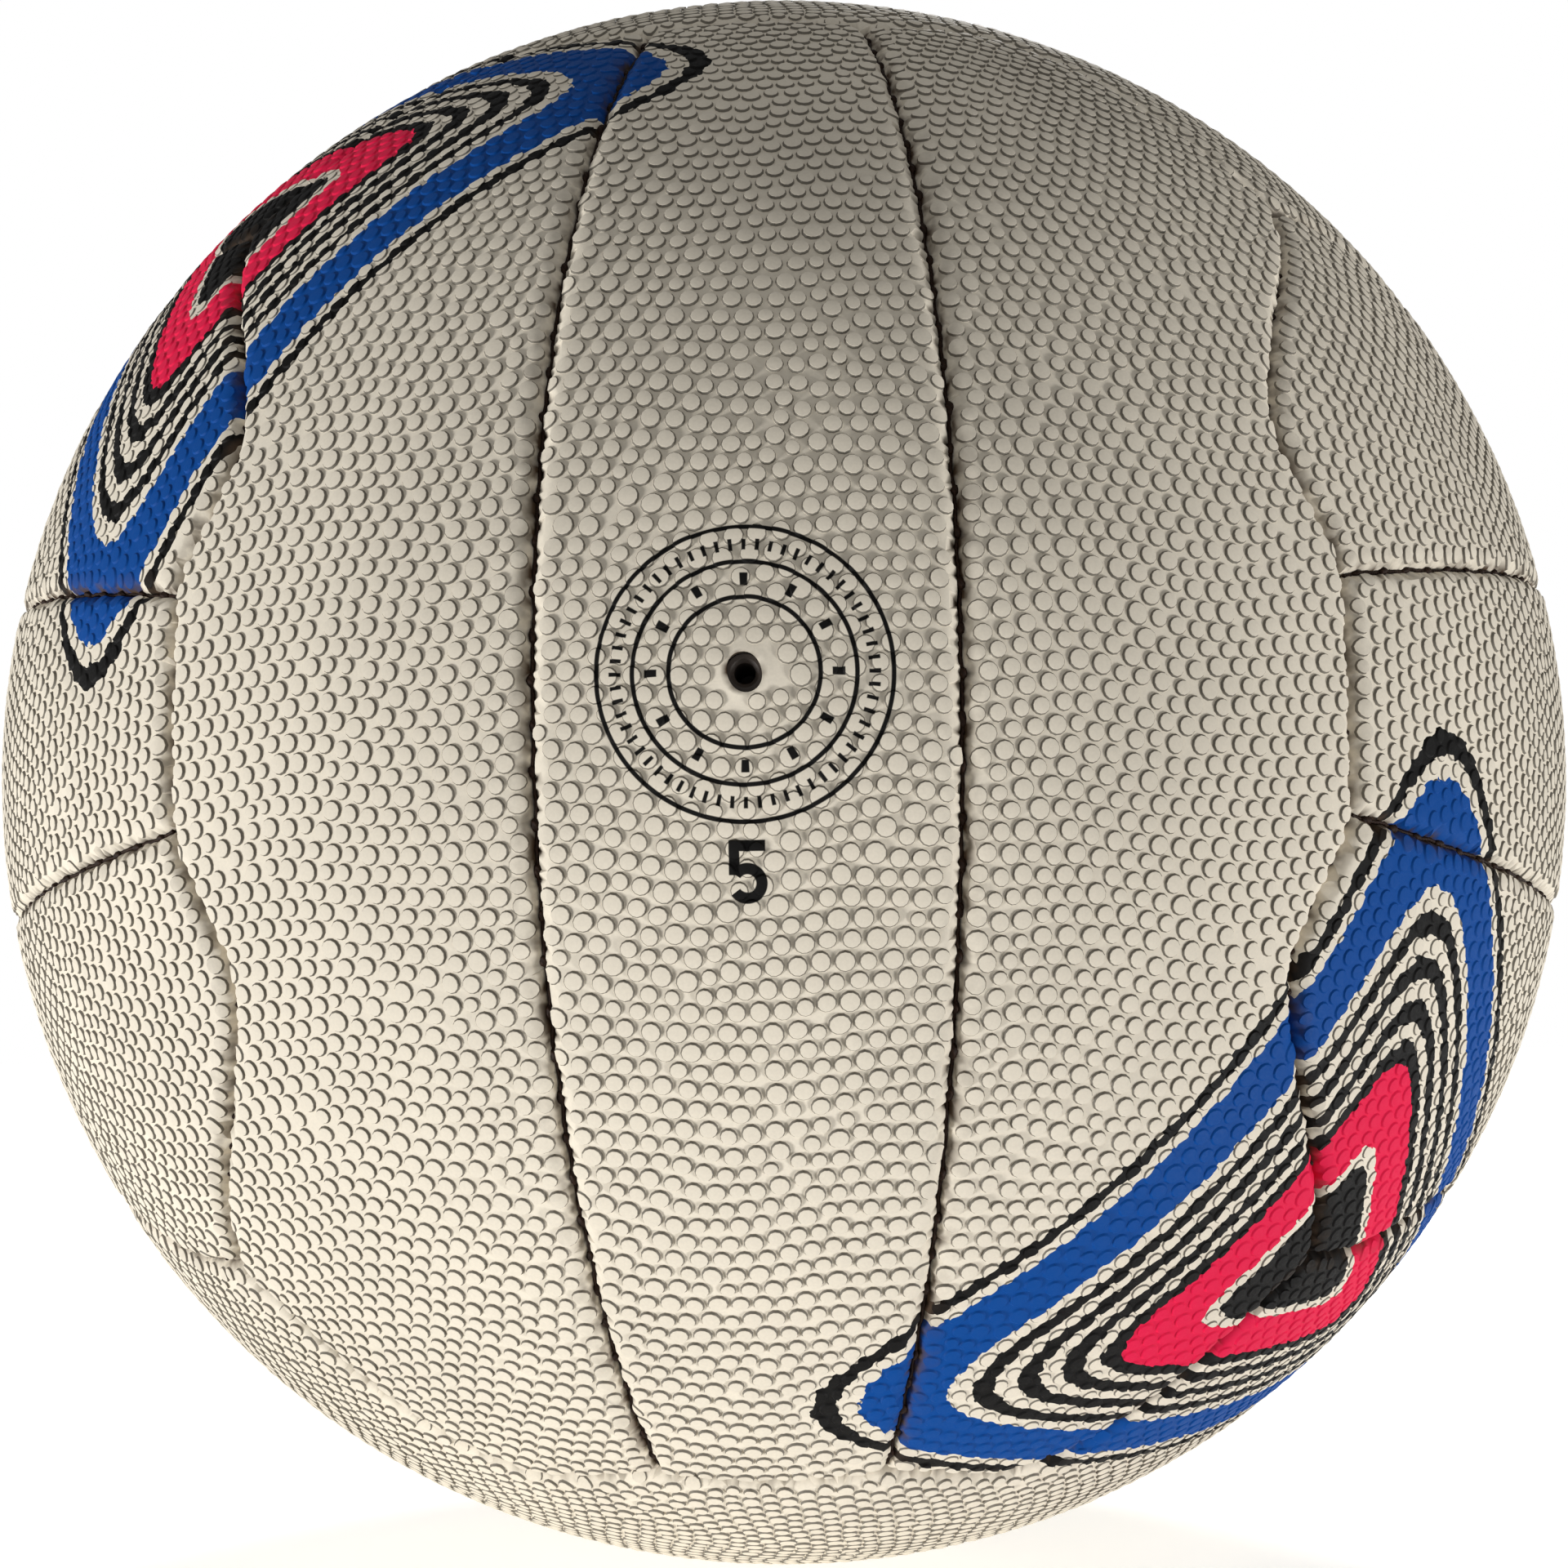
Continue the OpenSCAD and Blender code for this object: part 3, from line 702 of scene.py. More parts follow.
        # Painted shade: the hole's wall darkens fully towards its lower edge
        lip = mesh.add(hole_below * (BALL_R - LIP_DEPTH), 0, 1)
        mesh.bridge(hole_ring, lip)
        mesh.bridge(lip, under_index[-HOLE_SIDES:])

    data = bpy.data.meshes.new(name)
    data.from_pydata(np.concatenate(mesh.vertices).tolist(), [], mesh.faces)
    data.validate()
    for label, values in (("relief", mesh.relief), ("wax_and_shade", mesh.wax_and_shade), ("lift", mesh.lift)):
        attribute = data.attributes.new(label, "FLOAT", "POINT")
        attribute.data.foreach_set("value", np.concatenate(values).astype(np.float32))
    data.shade_smooth()
    data.set_sharp_from_angle(angle=SHARP_ANGLE)
    return data


def face_matrix(face, along_sign=1, across_sign=1):
    """Turns a face's own directions (outward, along, across) into the ball's."""
    outward, along, across, _ = FACES[face]
    columns = (Vector(outward), Vector(along) * along_sign, Vector(across) * across_sign)
    return Matrix(columns).transposed()


def panel_matrix(face, side):
    """The turn that takes a panel, modelled once, to its place, with no mirroring."""
    across_sign = -1 if side < 0 else 1
    along_sign = 1 if face_matrix(face, 1, across_sign).determinant() > 0 else -1
    return face_matrix(face, along_sign, across_sign).to_4x4()


def panel_name(face, side):
    return f"panel_{face}_{FACES[face][3][side + 1]}"


def deselect_all():
    bpy.ops.object.select_all(action="DESELECT")


def select_only(piece, *others):
    """Selects just these objects and makes the first of them active, for the operator that follows."""
    deselect_all()
    for chosen in (piece, *others):
        chosen.select_set(True)
    bpy.context.view_layer.objects.active = piece


def link_object(data, name):
    made = bpy.data.objects.new(name, data)
    bpy.context.scene.collection.objects.link(made)
    return made


def settle(piece, slot, *nodes):
    """Puts a finished piece on the ball in place of the frame's nodes."""
    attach(piece, "root")
    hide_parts(*nodes)


SMOOTH = {"interpolation_type": "SMOOTHSTEP"}
# A Mix node for colours takes its factor, five inputs of other kinds, then its two colours, and gives output 2
COLOURS, OTHER_KINDS = {"data_type": "RGBA"}, (None,) * 5
# A distance in millimetres that puts a place out of every mark's reach
FAR_OFF = 1000.0
# Half the width over which the edge of a printed line fades, in millimetres
INK_EDGE_W = 0.06
# The span that a noise's values mostly keep to
NOISE_SPAN = {"From_Min": 0.3, "From_Max": 0.7}


def distance_from_valve(tree, coords):
    """Millimetres from the valve's axis on the front of the ball, and far away behind it."""
    x, y, z = add_node(tree, "SeparateXYZ", {}, coords).outputs
    flat = add_node(tree, "CombineXYZ", {}, x, 0.0, z)
    off_axis = add_node(tree, "VectorMath", "LENGTH", flat).outputs["Value"]
    behind = add_node(tree, "Math", "GREATER_THAN", y, 0.0)
    return add_node(tree, "Math", "MULTIPLY_ADD", behind, FAR_OFF, off_axis), x, z


def line_mask(tree, value, middle, width):
    """1 where the value lies within half a line's width of its middle, with an edge a hair soft."""
    away = add_node(tree, "Math", "SUBTRACT", value, middle)
    away = add_node(tree, "Math", "ABSOLUTE", away)
    return add_node(tree, "MapRange", SMOOTH, away, From_Min=width / 2 + INK_EDGE_W, From_Max=width / 2 - INK_EDGE_W)


def box_mask(tree, x, z, middle_x, middle_z, width, height):
    one = line_mask(tree, x, middle_x, width)
    two = line_mask(tree, z, middle_z, height)
    return add_node(tree, "Math", "MULTIPLY", one, two)


def join_masks(tree, masks):
    joined = masks[0]
    for mask in masks[1:]:
        joined = add_node(tree, "Math", "MAXIMUM", joined, mask)
    return joined


# The plain numeral under the valve, in millimetres from the valve's axis
NUMERAL_TOP, NUMERAL_BOTTOM = -16.9, -23.3
NUMERAL_W, NUMERAL_STROKE = 4.1, 1.15
# Its bar's middle and how much narrower the bar is, its stem's inset, and the stem's width and height as shares of
# the stroke and the numeral
BAR_X, BAR_SHORT, STEM_INSET, STEM_W_SHARE, STEM_H_SHARE = 0.25, 0.9, 0.75, 0.95, 0.55
# Half angle of the bowl, from its right
BOWL_ANGLE = math.radians(144)


def numeral_five(tree, x, z):
    """A bold 5: a top bar, a stem and a bowl that is open on its lower left."""
    stem_h = (NUMERAL_TOP - NUMERAL_BOTTOM) * STEM_H_SHARE
    bowl_r = NUMERAL_W / 2
    bar = box_mask(tree, x, z, BAR_X, NUMERAL_TOP - NUMERAL_STROKE / 2, NUMERAL_W - BAR_SHORT, NUMERAL_STROKE)
    stem = box_mask(tree, x, z, STEM_INSET - bowl_r, NUMERAL_TOP - stem_h / 2, NUMERAL_STROKE * STEM_W_SHARE, stem_h)
    low_z = add_node(tree, "Math", "SUBTRACT", z, NUMERAL_BOTTOM + bowl_r)
    flat = add_node(tree, "CombineXYZ", {}, x, low_z, 0.0)
    off = add_node(tree, "VectorMath", "LENGTH", flat).outputs["Value"]
    ring = line_mask(tree, off, bowl_r - NUMERAL_STROKE / 2, NUMERAL_STROKE)
    turn = add_node(tree, "Math", "ARCTAN2", low_z, x)
    turn = add_node(tree, "Math", "ABSOLUTE", turn)
    closed = add_node(tree, "Math", "LESS_THAN", turn, BOWL_ANGLE)
    bowl = add_node(tree, "Math", "MULTIPLY", ring, closed)
    return join_masks(tree, [bar, stem, bowl])


# The ticks round the valve: their count, inner and outer radius and width, in millimetres
TICKS = ((60, 12.6, 13.8, 0.42), (12, 8.9, 10.2, 0.8))
# Distance from the valve's axis beyond which nothing of its marks is printed
MARKS_REACH = 40.0


def valve_marks(tree, coords, sizes):
    """The print round the valve: three rings, a scale of ticks between them and the numeral."""
    off_axis, x, z = distance_from_valve(tree, coords)
    rings = [line_mask(tree, off_axis, r / MM, sizes.line_w / MM)
             for r in (sizes.inner_ring_r, sizes.middle_ring_r, sizes.outer_ring_r)]
    turn = add_node(tree, "Math", "ARCTAN2", z, x)
    ticks = []
    for count, inner, outer, width in TICKS:
        turns = add_node(tree, "Math", "MULTIPLY", turn, count / math.tau)
        place = add_node(tree, "Math", "PINGPONG", turns, 0.5)
        along = add_node(tree, "Math", "MULTIPLY", place, math.tau * (inner + outer) / 2 / count)
        tick = line_mask(tree, along, 0.0, width)
        band = line_mask(tree, off_axis, (inner + outer) / 2, outer - inner)
        ticks.append(add_node(tree, "Math", "MULTIPLY", tick, band))
    in_front = add_node(tree, "Math", "LESS_THAN", off_axis, MARKS_REACH)
    numeral = add_node(tree, "Math", "MULTIPLY", numeral_five(tree, x, z), in_front)
    return join_masks(tree, rings + ticks + [numeral])


# Bands of the printed triangles: the reach in millimetres at which each ends, and its ink
TRIANGLE_BANDS = (
    (7.6, "black"), (9.0, None), (15.2, "pink"), (16.7, "black"), (18.1, None),
    (19.6, "black"), (21.0, None), (22.5, "black"), (23.9, None), (25.4, "black"),
    (27.0, None), (33.4, "blue"), (34.7, None), (36.2, "black"),
)
# The power that rounds the triangles' corners
TRIANGLE_POWER = 4.0
# Waves in the print's edges per millimetre, and how far the edges stray by them
WOBBLE_PER_MM, WOBBLE = 0.6, 0.22
# How far one panel's print is shifted against its neighbour's, as prints on separate sheets are
PRINT_SHIFT = 0.35


def triangle_reach(tree, coords, shift):
    """Millimetres from a corner of the ball, drawn out to a rounded triangle whose tips lie on the three
    seams that meet there. Four corners, no two of them neighbours, carry the print."""
    folded = add_node(tree, "VectorMath", "ABSOLUTE", coords)
    total = add_node(tree, "VectorMath", "DOT_PRODUCT", folded, (1, 1, 1)).outputs["Value"]
    sums = (("MULTIPLY", 3.0), ("SUBTRACT", total), ("MAXIMUM", 0.0), ("DIVIDE", math.sqrt(6)),
            ("POWER", TRIANGLE_POWER))
    powers = []
    for away in add_node(tree, "SeparateXYZ", {}, folded).outputs:
        for operation, other in sums:
            away = add_node(tree, "Math", operation, away, other)
        powers.append(away)
    wobble = add_node(tree, "TexNoise", {}, coords, Scale=WOBBLE_PER_MM, Detail=1.0)
    wobble = add_node(tree, "MapRange", {}, wobble, **NOISE_SPAN, To_Min=-WOBBLE, To_Max=WOBBLE)
    sums = (("ADD", powers[1]), ("ADD", powers[2]), ("POWER", 1 / TRIANGLE_POWER), ("ADD", shift), ("ADD", wobble))
    reach = powers[0]
    for operation, other in sums:
        reach = add_node(tree, "Math", operation, reach, other)
    x, y, z = add_node(tree, "SeparateXYZ", {}, coords).outputs
    signs = add_node(tree, "Math", "MULTIPLY", x, y)
    signs = add_node(tree, "Math", "MULTIPLY", signs, z)
    bare = add_node(tree, "Math", "LESS_THAN", signs, 0.0)
    return add_node(tree, "Math", "MULTIPLY_ADD", bare, FAR_OFF, reach)


def triangle_ink(tree, coords, shift, inks):
    """Colour and cover of the printed triangles: one ramp of bands."""
    most = TRIANGLE_BANDS[-1][0]
    share_of_most = add_node(tree, "Math", "DIVIDE", triangle_reach(tree, coords, shift), most)
    ramp = add_node(tree, "ValToRGB", {}, share_of_most)
    ramp.color_ramp.interpolation = "CONSTANT"
    stops = ramp.color_ramp.elements
    start = 0.0
    for i, (end, ink) in enumerate(TRIANGLE_BANDS):
        stop = stops[0] if i == 0 else stops.new(start / most)
        stop.position = start / most
        stop.color = inks[ink] if ink else (1, 1, 1, 0)
        start = end
    stops[-1].position = 1.0
    stops[-1].color = (1, 1, 1, 0)
    return ramp.outputs


# Share of a pimple's height that thick ink takes up round its foot, and how far past the print it thins out
INK_FILL, INK_THINS_MM = 0.42, 1


def fill_with_ink(data):
    """Lowers the pimples under the print, where thick ink fills the ground between them."""
    points = np.empty(len(data.vertices) * 3)
    data.vertices.foreach_get("co", points)
    points = points.reshape(-1, 3)
    lift = np.empty(len(points), np.float32)
    data.attributes["lift"].data.foreach_get("value", lift)
    folded = np.abs(points) / MM
    away = np.maximum(3 * folded - folded.sum(axis=1, keepdims=True), 0) / math.sqrt(6)
    reach = (away ** TRIANGLE_POWER).sum(axis=1) ** (1 / TRIANGLE_POWER)
    filled = ease((TRIANGLE_BANDS[-1][0] + INK_THINS_MM - reach) / INK_THINS_MM) * (points.prod(axis=1) > 0)
    points -= unit(points) * (INK_FILL * filled * lift)[:, None]
    data.vertices.foreach_set("co", points.ravel())


def new_material(name):
    made = bpy.data.materials.new(name)
    made.use_nodes = True
    tree = made.node_tree
    tree.nodes.clear()
    surface = add_node(tree, "BsdfPrincipled", {})
    out = add_node(tree, "OutputMaterial", {}, surface)
    coords = add_node(tree, "TexCoord", {}).outputs["Object"]
    millimetres = add_node(tree, "VectorMath", "SCALE", coords, Scale=1 / MM)
    return made, tree, surface, out, millimetres


def moulded_rubber(name, with_valve_marks):
    """Natural rubber, hot-pressed in a mould and screen-printed."""
    # It looks matt and a little mottled, with painted shade on the pimple walls, painted light on the ground between
    # them, and flat, even inks
    scene = bpy.context.scene
    finish, sizes = scene.netball_finish, scene.netball_print
    made, tree, surface, _, coords = new_material(name)
    relief = add_node(tree, "Attribute", {"attribute_name": "relief"}).outputs["Fac"]
    wax_and_shade = add_node(tree, "Attribute", {"attribute_name": "wax_and_shade"}).outputs["Fac"]
    # Clouds some 20 mm across, and a grain that is drawn coarser than the real one, at a third of a millimetre
    clouds = add_node(tree, "TexNoise", {}, coords, Scale=0.045, Detail=3.0)
    grain = add_node(tree, "TexNoise", {}, coords, Scale=3.0, Detail=2.0)
    shade = add_node(tree, "MapRange", {}, clouds, **NOISE_SPAN, To_Min=0.95, To_Max=1.04)
    fleck = add_node(tree, "MapRange", {}, grain, **NOISE_SPAN, To_Min=0.965, To_Max=1.03)
    # Relief runs from 0 on the ground to 1 on a pimple's top, so that only its wall lies between them
    wall = add_node(tree, "Math", "PINGPONG", relief, 0.5)
    # Painted shade: a pimple's wall is darkened to about a quarter, standing in for the shade in the narrow gaps
    # between pimples
    painted_wall_shade = add_node(tree, "MapRange", SMOOTH, wall, From_Max=0.2, To_Min=1.0, To_Max=0.27)
    # Painted light: the ground between the pimples is a little lighter than their tops, to make up for the shadow
    # that they cast on it
    ground = add_node(tree, "MapRange", {}, relief, To_Min=1.06, To_Max=1.0)
    level = shade
    for other in (fleck, add_node(tree, "Math", "MULTIPLY", painted_wall_shade, ground)):
        level = add_node(tree, "Math", "MULTIPLY", level, other)
    rubber = add_node(tree, "VectorMath", "SCALE", tuple(finish.rubber[:3]), Scale=level)

    inks = {"black": sizes.black, "blue": sizes.blue, "pink": sizes.pink}
    shift = add_node(tree, "Attribute", {"attribute_name": "print_shift"}).outputs["Fac"]
    ink, cover = triangle_ink(tree, coords, shift, inks)
    base = add_node(tree, "Mix", COLOURS, cover, *OTHER_KINDS, rubber, ink).outputs[2]
    if with_valve_marks:
        marks = valve_marks(tree, coords, sizes)
        base = add_node(tree, "Mix", COLOURS, marks, *OTHER_KINDS, base, sizes.black).outputs[2]
    # The seams darken towards the dirt colour in blotches: partly the dirt that wax and hands leave, partly painted
    # shade in the seams' creases and down the valve's hole
    patches = add_node(tree, "TexNoise", {}, coords, Scale=0.4, Detail=2.0)
    patches = add_node(tree, "MapRange", {}, patches, From_Min=0.4, From_Max=0.62, To_Min=0.1, To_Max=1.25)
    stain = add_node(tree, "Math", {"operation": "MULTIPLY", "use_clamp": True}, wax_and_shade, patches)
    base = add_node(tree, "Mix", COLOURS, stain, *OTHER_KINDS, base, finish.dirt_and_shade).outputs[2]
    rough = add_node(tree, "MapRange", {}, grain, **NOISE_SPAN, To_Min=0.58, To_Max=0.72)
    bump = add_node(tree, "Bump", {}, 0.35, 0.03 * MM, Height=grain)
    fill_inputs(tree, surface, Base_Color=base, Roughness=rough, Specular_IOR_Level=0.12, Normal=bump)
    return made


def scaled(colour_rgba, part, lift=0.0):
    return [v * part + lift for v in colour_rgba[:3]] + [1]


def waxed_thread():
    """Polyester twine, laid from plies and drawn through wax."""
    # It looks dark and barely shiny, with its plies as fine slanting ridges
    made, tree, surface, _, coords = new_material("Waxed twine")
    dark = bpy.context.scene.netball_finish.thread
    waves = add_node(tree, "TexWave", {"bands_direction": "DIAGONAL"}, coords, Scale=0.9, Distortion=1.0)
    plies = waves.outputs["Fac"]
    base = add_node(tree, "Mix", COLOURS, plies, *OTHER_KINDS, scaled(dark, 0.55), dark).outputs[2]
    bump = add_node(tree, "Bump", {}, 0.6, 0.08 * MM, Height=plies)
    fill_inputs(tree, surface, Base_Color=base, Roughness=0.6, Specular_IOR_Level=0.12, Normal=bump)
    return made


def laminated_cloth():
    """Plain-woven poly-cotton in layers of latex."""
    # It looks dull and off-white, with the weave showing as small even squares, drawn coarser than the real one
    made, tree, surface, _, coords = new_material("Laminated poly-cotton")
    cloth = bpy.context.scene.netball_finish.cloth
    threads_per_mm = 2.0
    waves = []
    for part in add_node(tree, "SeparateXYZ", {}, coords).outputs:
        turn = add_node(tree, "Math", "MULTIPLY", part, math.tau * threads_per_mm)
        waves.append(add_node(tree, "Math", "SINE", turn))
    weave = add_node(tree, "Math", "MULTIPLY_ADD", *waves)
    level = add_node(tree, "MapRange", {}, weave, From_Min=-2.0, From_Max=2.0)
    base = add_node(tree, "Mix", COLOURS, level, *OTHER_KINDS, scaled(cloth, 0.82), cloth).outputs[2]
    bump = add_node(tree, "Bump", {}, 0.5, 0.1 * MM, Height=level)
    fill_inputs(tree, surface, Base_Color=base, Roughness=0.85, Normal=bump)
    return made


def butyl_rubber(name, dark, cloud_mm, roughness):
    """Butyl rubber, cured in a polished mould."""
    # It looks dark and smooth, with the faint cloudy bloom that it comes to have
    made, tree, surface, _, coords = new_material(name)
    bloom = add_node(tree, "TexNoise", {}, coords, Scale=1 / cloud_mm, Detail=4.0)
    base = add_node(tree, "Mix", COLOURS, bloom, *OTHER_KINDS, dark, scaled(dark, 1.8, 0.006)).outputs[2]
    bump = add_node(tree, "Bump", {}, 0.3, 0.05 * MM, Height=bloom)
    fill_inputs(tree, surface, Base_Color=base, Roughness=roughness, Normal=bump)
    return made


class NETBALL_OT_panels(bpy.types.Operator):
    """Makes the eighteen pimpled rubber panels: three shapes, turned to their places"""

    bl_idname = "netball.panels"
    bl_label = "Cover panels"

    def execute(self, context):
        scene = context.scene
        seams, pimples = scene.netball_seams, scene.netball_pimples
        rng = np.random.default_rng(21)
        valve = ValvePanelShape(seams, scene.netball_valve)
        meshes = {
            "side": make_panel_mesh("side_panel", PanelShape("side", seams), pimples, 3),
            "middle": make_panel_mesh("middle_panel", PanelShape("middle", seams), pimples, 5),
            "valve": make_panel_mesh("valve_panel", valve, pimples, 8),
        }
        plain = moulded_rubber("Moulded rubber, printed", False)
        marked = moulded_rubber("Moulded rubber, printed with valve marks", True)
        for face in FACES:
            for side in SIDES:
                node = panel_name(face, side)
                kind = "valve" if node == VALVE_PANEL else "side" if side else "middle"
                data = meshes[kind].copy()
                data.transform(panel_matrix(face, side))
                fill_with_ink(data)
                data.materials.append(marked if kind == "valve" else plain)
                shift = data.attributes.new("print_shift", "FLOAT", "POINT")
                shift.data.foreach_set("value", np.full(len(data.vertices), rng.normal(0, PRINT_SHIFT)))
                piece = link_object(data, f"pimpled_{node}")
                settle(piece, "cover_rubber", node)
        for data in meshes.values():
            bpy.data.meshes.remove(data)
        return {"FINISHED"}


# How much of a thread's wander is a steady sway, how far its drift's turns lie apart as a share of a stitch, how
# much they vary, and how far the thread dips at each stitch
SWAY_SHARE, DRIFT_PITCH_SHARE, DRIFT_SPREAD, STITCH_DIP = 0.6, 0.7, 0.5, 0.16 * MM
# Distance from one point of a thread to the next, and points that its seam's line is first drawn with
THREAD_STEP, SEAM_POINTS = 0.8 * MM, 400
# Points at each end of a thread that carry no knot
END_POINTS = 3
# How far a knot's middle lies above the thread's, and the least and most share of its usual size
KNOT_LIFT, KNOT_LEAST, KNOT_MOST = 0.1 * MM, 0.8, 1.2
# For the middle seams and the long ones: the thread's height above the fold, a knot's half sizes along the seam,
# across it and outwards, in millimetres, and the share of the stitches whose knots show
MIDDLE_STITCHES = (0.34 * MM, (0.85, 0.5, 0.55), 0.95)
LONG_STITCHES = (-0.15 * MM, (0.5, 0.42, 0.75), 0.8)


def thread_path(points, radius, wander, rng, pitch):
    """A thread's line along a seam, dipping at each stitch and wandering a little to either side."""
    length = np.concatenate([[0], np.cumsum(np.linalg.norm(np.diff(points, axis=0), axis=1))]) * BALL_R
    length -= length[-1] / 2
    sideways = unit(np.cross(points, np.gradient(points, axis=0)))
    turns = np.arange(length[0] - pitch, length[-1] + 2 * pitch, pitch * DRIFT_PITCH_SHARE)
    drift = np.interp(length, turns, rng.normal(0, DRIFT_SPREAD, len(turns)))
    sway = wander * (SWAY_SHARE * np.sin(np.pi * length / pitch) + drift)
    dip = STITCH_DIP * (0.5 + 0.5 * np.cos(2 * np.pi * length / pitch))
    return points * (radius - dip)[:, None] + sideways * sway[:, None]


def sweep(name, paths, diameter):
    """One mesh of round threads along paths, with closed ends."""
    curve = bpy.data.curves.new(name, "CURVE")
    curve.dimensions = "3D"
    curve.bevel_depth = diameter / 2
    curve.bevel_resolution = 1
    curve.use_fill_caps = True
    for path in paths:
        spline = curve.splines.new("POLY")
        spline.points.add(len(path) - 1)
        spline.points.foreach_set("co", np.pad(path, ((0, 0), (0, 1)), constant_values=1).ravel())
    select_only(link_object(curve, name))
    bpy.ops.object.convert(target="MESH")
    return bpy.context.view_layer.objects.active


def add_knots(piece, places, sizes):
    """Adds to a thread a small rounded knot at each place: its point, the way along and the way out."""
    deselect_all()
    bpy.ops.mesh.primitive_uv_sphere_add(segments=8, ring_count=6, radius=1)
    template = bpy.context.active_object
    ball = np.array([v.co for v in template.data.vertices])
    # Blender lists a sphere's faces in another order in each run
    faces = sorted(list(p.vertices) for p in template.data.polygons)
    bpy.data.objects.remove(template)
    vertices, polygons = [], []
    for (point, along, outward), (long, wide, high) in zip(places, sizes):
        first = len(vertices) * len(ball)
        axes = np.array([along * long, np.cross(outward, along) * wide, outward * high])
        vertices.append(point + ball @ axes)
        polygons.extend([[first + i for i in face] for face in faces])
    data = bpy.data.meshes.new("knots")
    data.from_pydata(np.concatenate(vertices).tolist(), [], polygons)
    select_only(piece, link_object(data, "knots"))
    bpy.ops.object.join()
    return piece


def stitched_seam(name, face, path, reach, fold_r, rng, kind):
    """The thread of a face's two like seams, one on each side, with its knots."""
    height, knot_mm, kept = kind
    stitches, pitch = bpy.context.scene.netball_stitches, bpy.context.scene.netball_seams.stitch_pitch
    turn = np.array(face_matrix(face))
    paths, places, sizes = [], [], []
    for sign in (-1, 1):
        fine = path(np.linspace(-reach, reach, SEAM_POINTS)) * [1, 1, sign] @ turn.T
        length = np.linalg.norm(np.diff(fine, axis=0), axis=1).sum() * BALL_R
        count = int(length / THREAD_STEP)
        places_along = np.linspace(0, SEAM_POINTS - 1, count)
        points = unit(np.stack([np.interp(places_along, np.arange(SEAM_POINTS), axis) for axis in fine.T], axis=1))
        line = thread_path(points, fold_r + height, stitches.wander, rng, pitch)
        paths.append(line)
        half = int(length / 2 / pitch)
        for k in range(-half, half + 1):
            at = 0.5 + k * pitch / length
            i = int(round(at * (count - 1)))
            if END_POINTS <= i < count - END_POINTS and rng.random() < kept:
                along = line[i + 1] - line[i - 1]
                outward = line[i] / np.linalg.norm(line[i])
                along -= outward * (along @ outward)
                places.append((line[i] + outward * KNOT_LIFT, along / np.linalg.norm(along), outward))
                sizes.append(np.array(knot_mm) * MM * rng.uniform(KNOT_LEAST, KNOT_MOST, 3))
    piece = sweep(name, paths, stitches.thread_d)
    return add_knots(piece, places, sizes)


class NETBALL_OT_stitching(bpy.types.Operator):
    """Makes the waxed thread of every seam, with its knots"""

    bl_idname = "netball.stitching"
    bl_label = "Stitching"

    def execute(self, context):
        seams, stitches = context.scene.netball_seams, context.scene.netball_stitches
        rng = np.random.default_rng(12)
        twine = waxed_thread()
        fold_r = BALL_R - seams.shoulder_depth
        stop = 2 * stitches.thread_d / BALL_R
        middle_reach = math.atan2(*end_seam(np.array(junction_angle(seams)), 1, seams)[[1, 0]]) - stop
        for face in FACES:
            for name, path, reach, kind in (
                    ("middle", lambda a: middle_seam(a, 1, seams), middle_reach, MIDDLE_STITCHES),
                    ("edge", lambda a: long_seam(a, seams), CORNER_ANGLE - stop, LONG_STITCHES)):
                piece = stitched_seam(f"waxed_twine_{name}_{face}", face, path, reach, fold_r, rng, kind)
                piece.data.materials.clear()
                piece.data.materials.append(twine)
                piece.data.shade_smooth()
                settle(piece, "waxed_thread", f"{name}_thread_{face}")
        return {"FINISHED"}


class NETBALL_OT_inner_parts(bpy.types.Operator):
    """Finishes the backings, the bladder and the valve, which keep the frame's shapes"""

    bl_idname = "netball.inner_parts"
    bl_label = "Backings, bladder and valve"

    def execute(self, context):
        finish = context.scene.netball_finish
        thin = butyl_rubber("Butyl rubber, moulded thin", finish.black_rubber, 9.0, 0.42)
        solid = butyl_rubber("Butyl rubber, moulded solid", finish.brown_rubber, 1.2, 0.6)
        made_of = {"bladder": thin, "valve_patch": thin, "valve_housing": solid, "valve_core": solid}
        cloth = laminated_cloth()
        for name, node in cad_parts.items():
            material = cloth if name.startswith("backing_") else made_of.get(name)
            if material:
                node.data.materials.clear()
                node.data.materials.append(material)
        return {"FINISHED"}


# Each lamp's direction from the ball, and how brightly it lights a surface that faces it
LAMPS = {
    "left_lamp": ((-0.8, -0.4, -0.45), 0.86),
    "right_lamp": ((0.78, -0.34, -0.52), 0.62),
    "back_lamp": ((0.1, 0.8, 0.6), 0.5),
}
LAMP_DISTANCE, LAMP_W = 1.2, 0.22
# What the camera sees of the floor besides its own light: less near the ball, so that the shadow shows
FLOOR_GLOW_NEAR = 0.6
# Distances from the ball's centre, in millimetres, between which that glow rises to full white
FLOOR_GLOW_MM = (150, 500)
# Side of the floor, and how brightly the surroundings light the ball
FLOOR_SIZE, SKY_LEVEL = 6, 0.33


def add_lamp(name, way, level):
    """A square lamp in a direction from the ball, which it faces."""
    lamp = bpy.data.lights.new(name, "AREA")
    lamp.shape = "SQUARE"
    lamp.size = LAMP_W
    lamp.energy = level * (math.pi * LAMP_DISTANCE) ** 2
    holder = link_object(lamp, name)
    holder.location = Vector(way).normalized() * LAMP_DISTANCE
    holder.rotation_euler = (-holder.location).to_track_quat("-Z", "Y").to_euler()


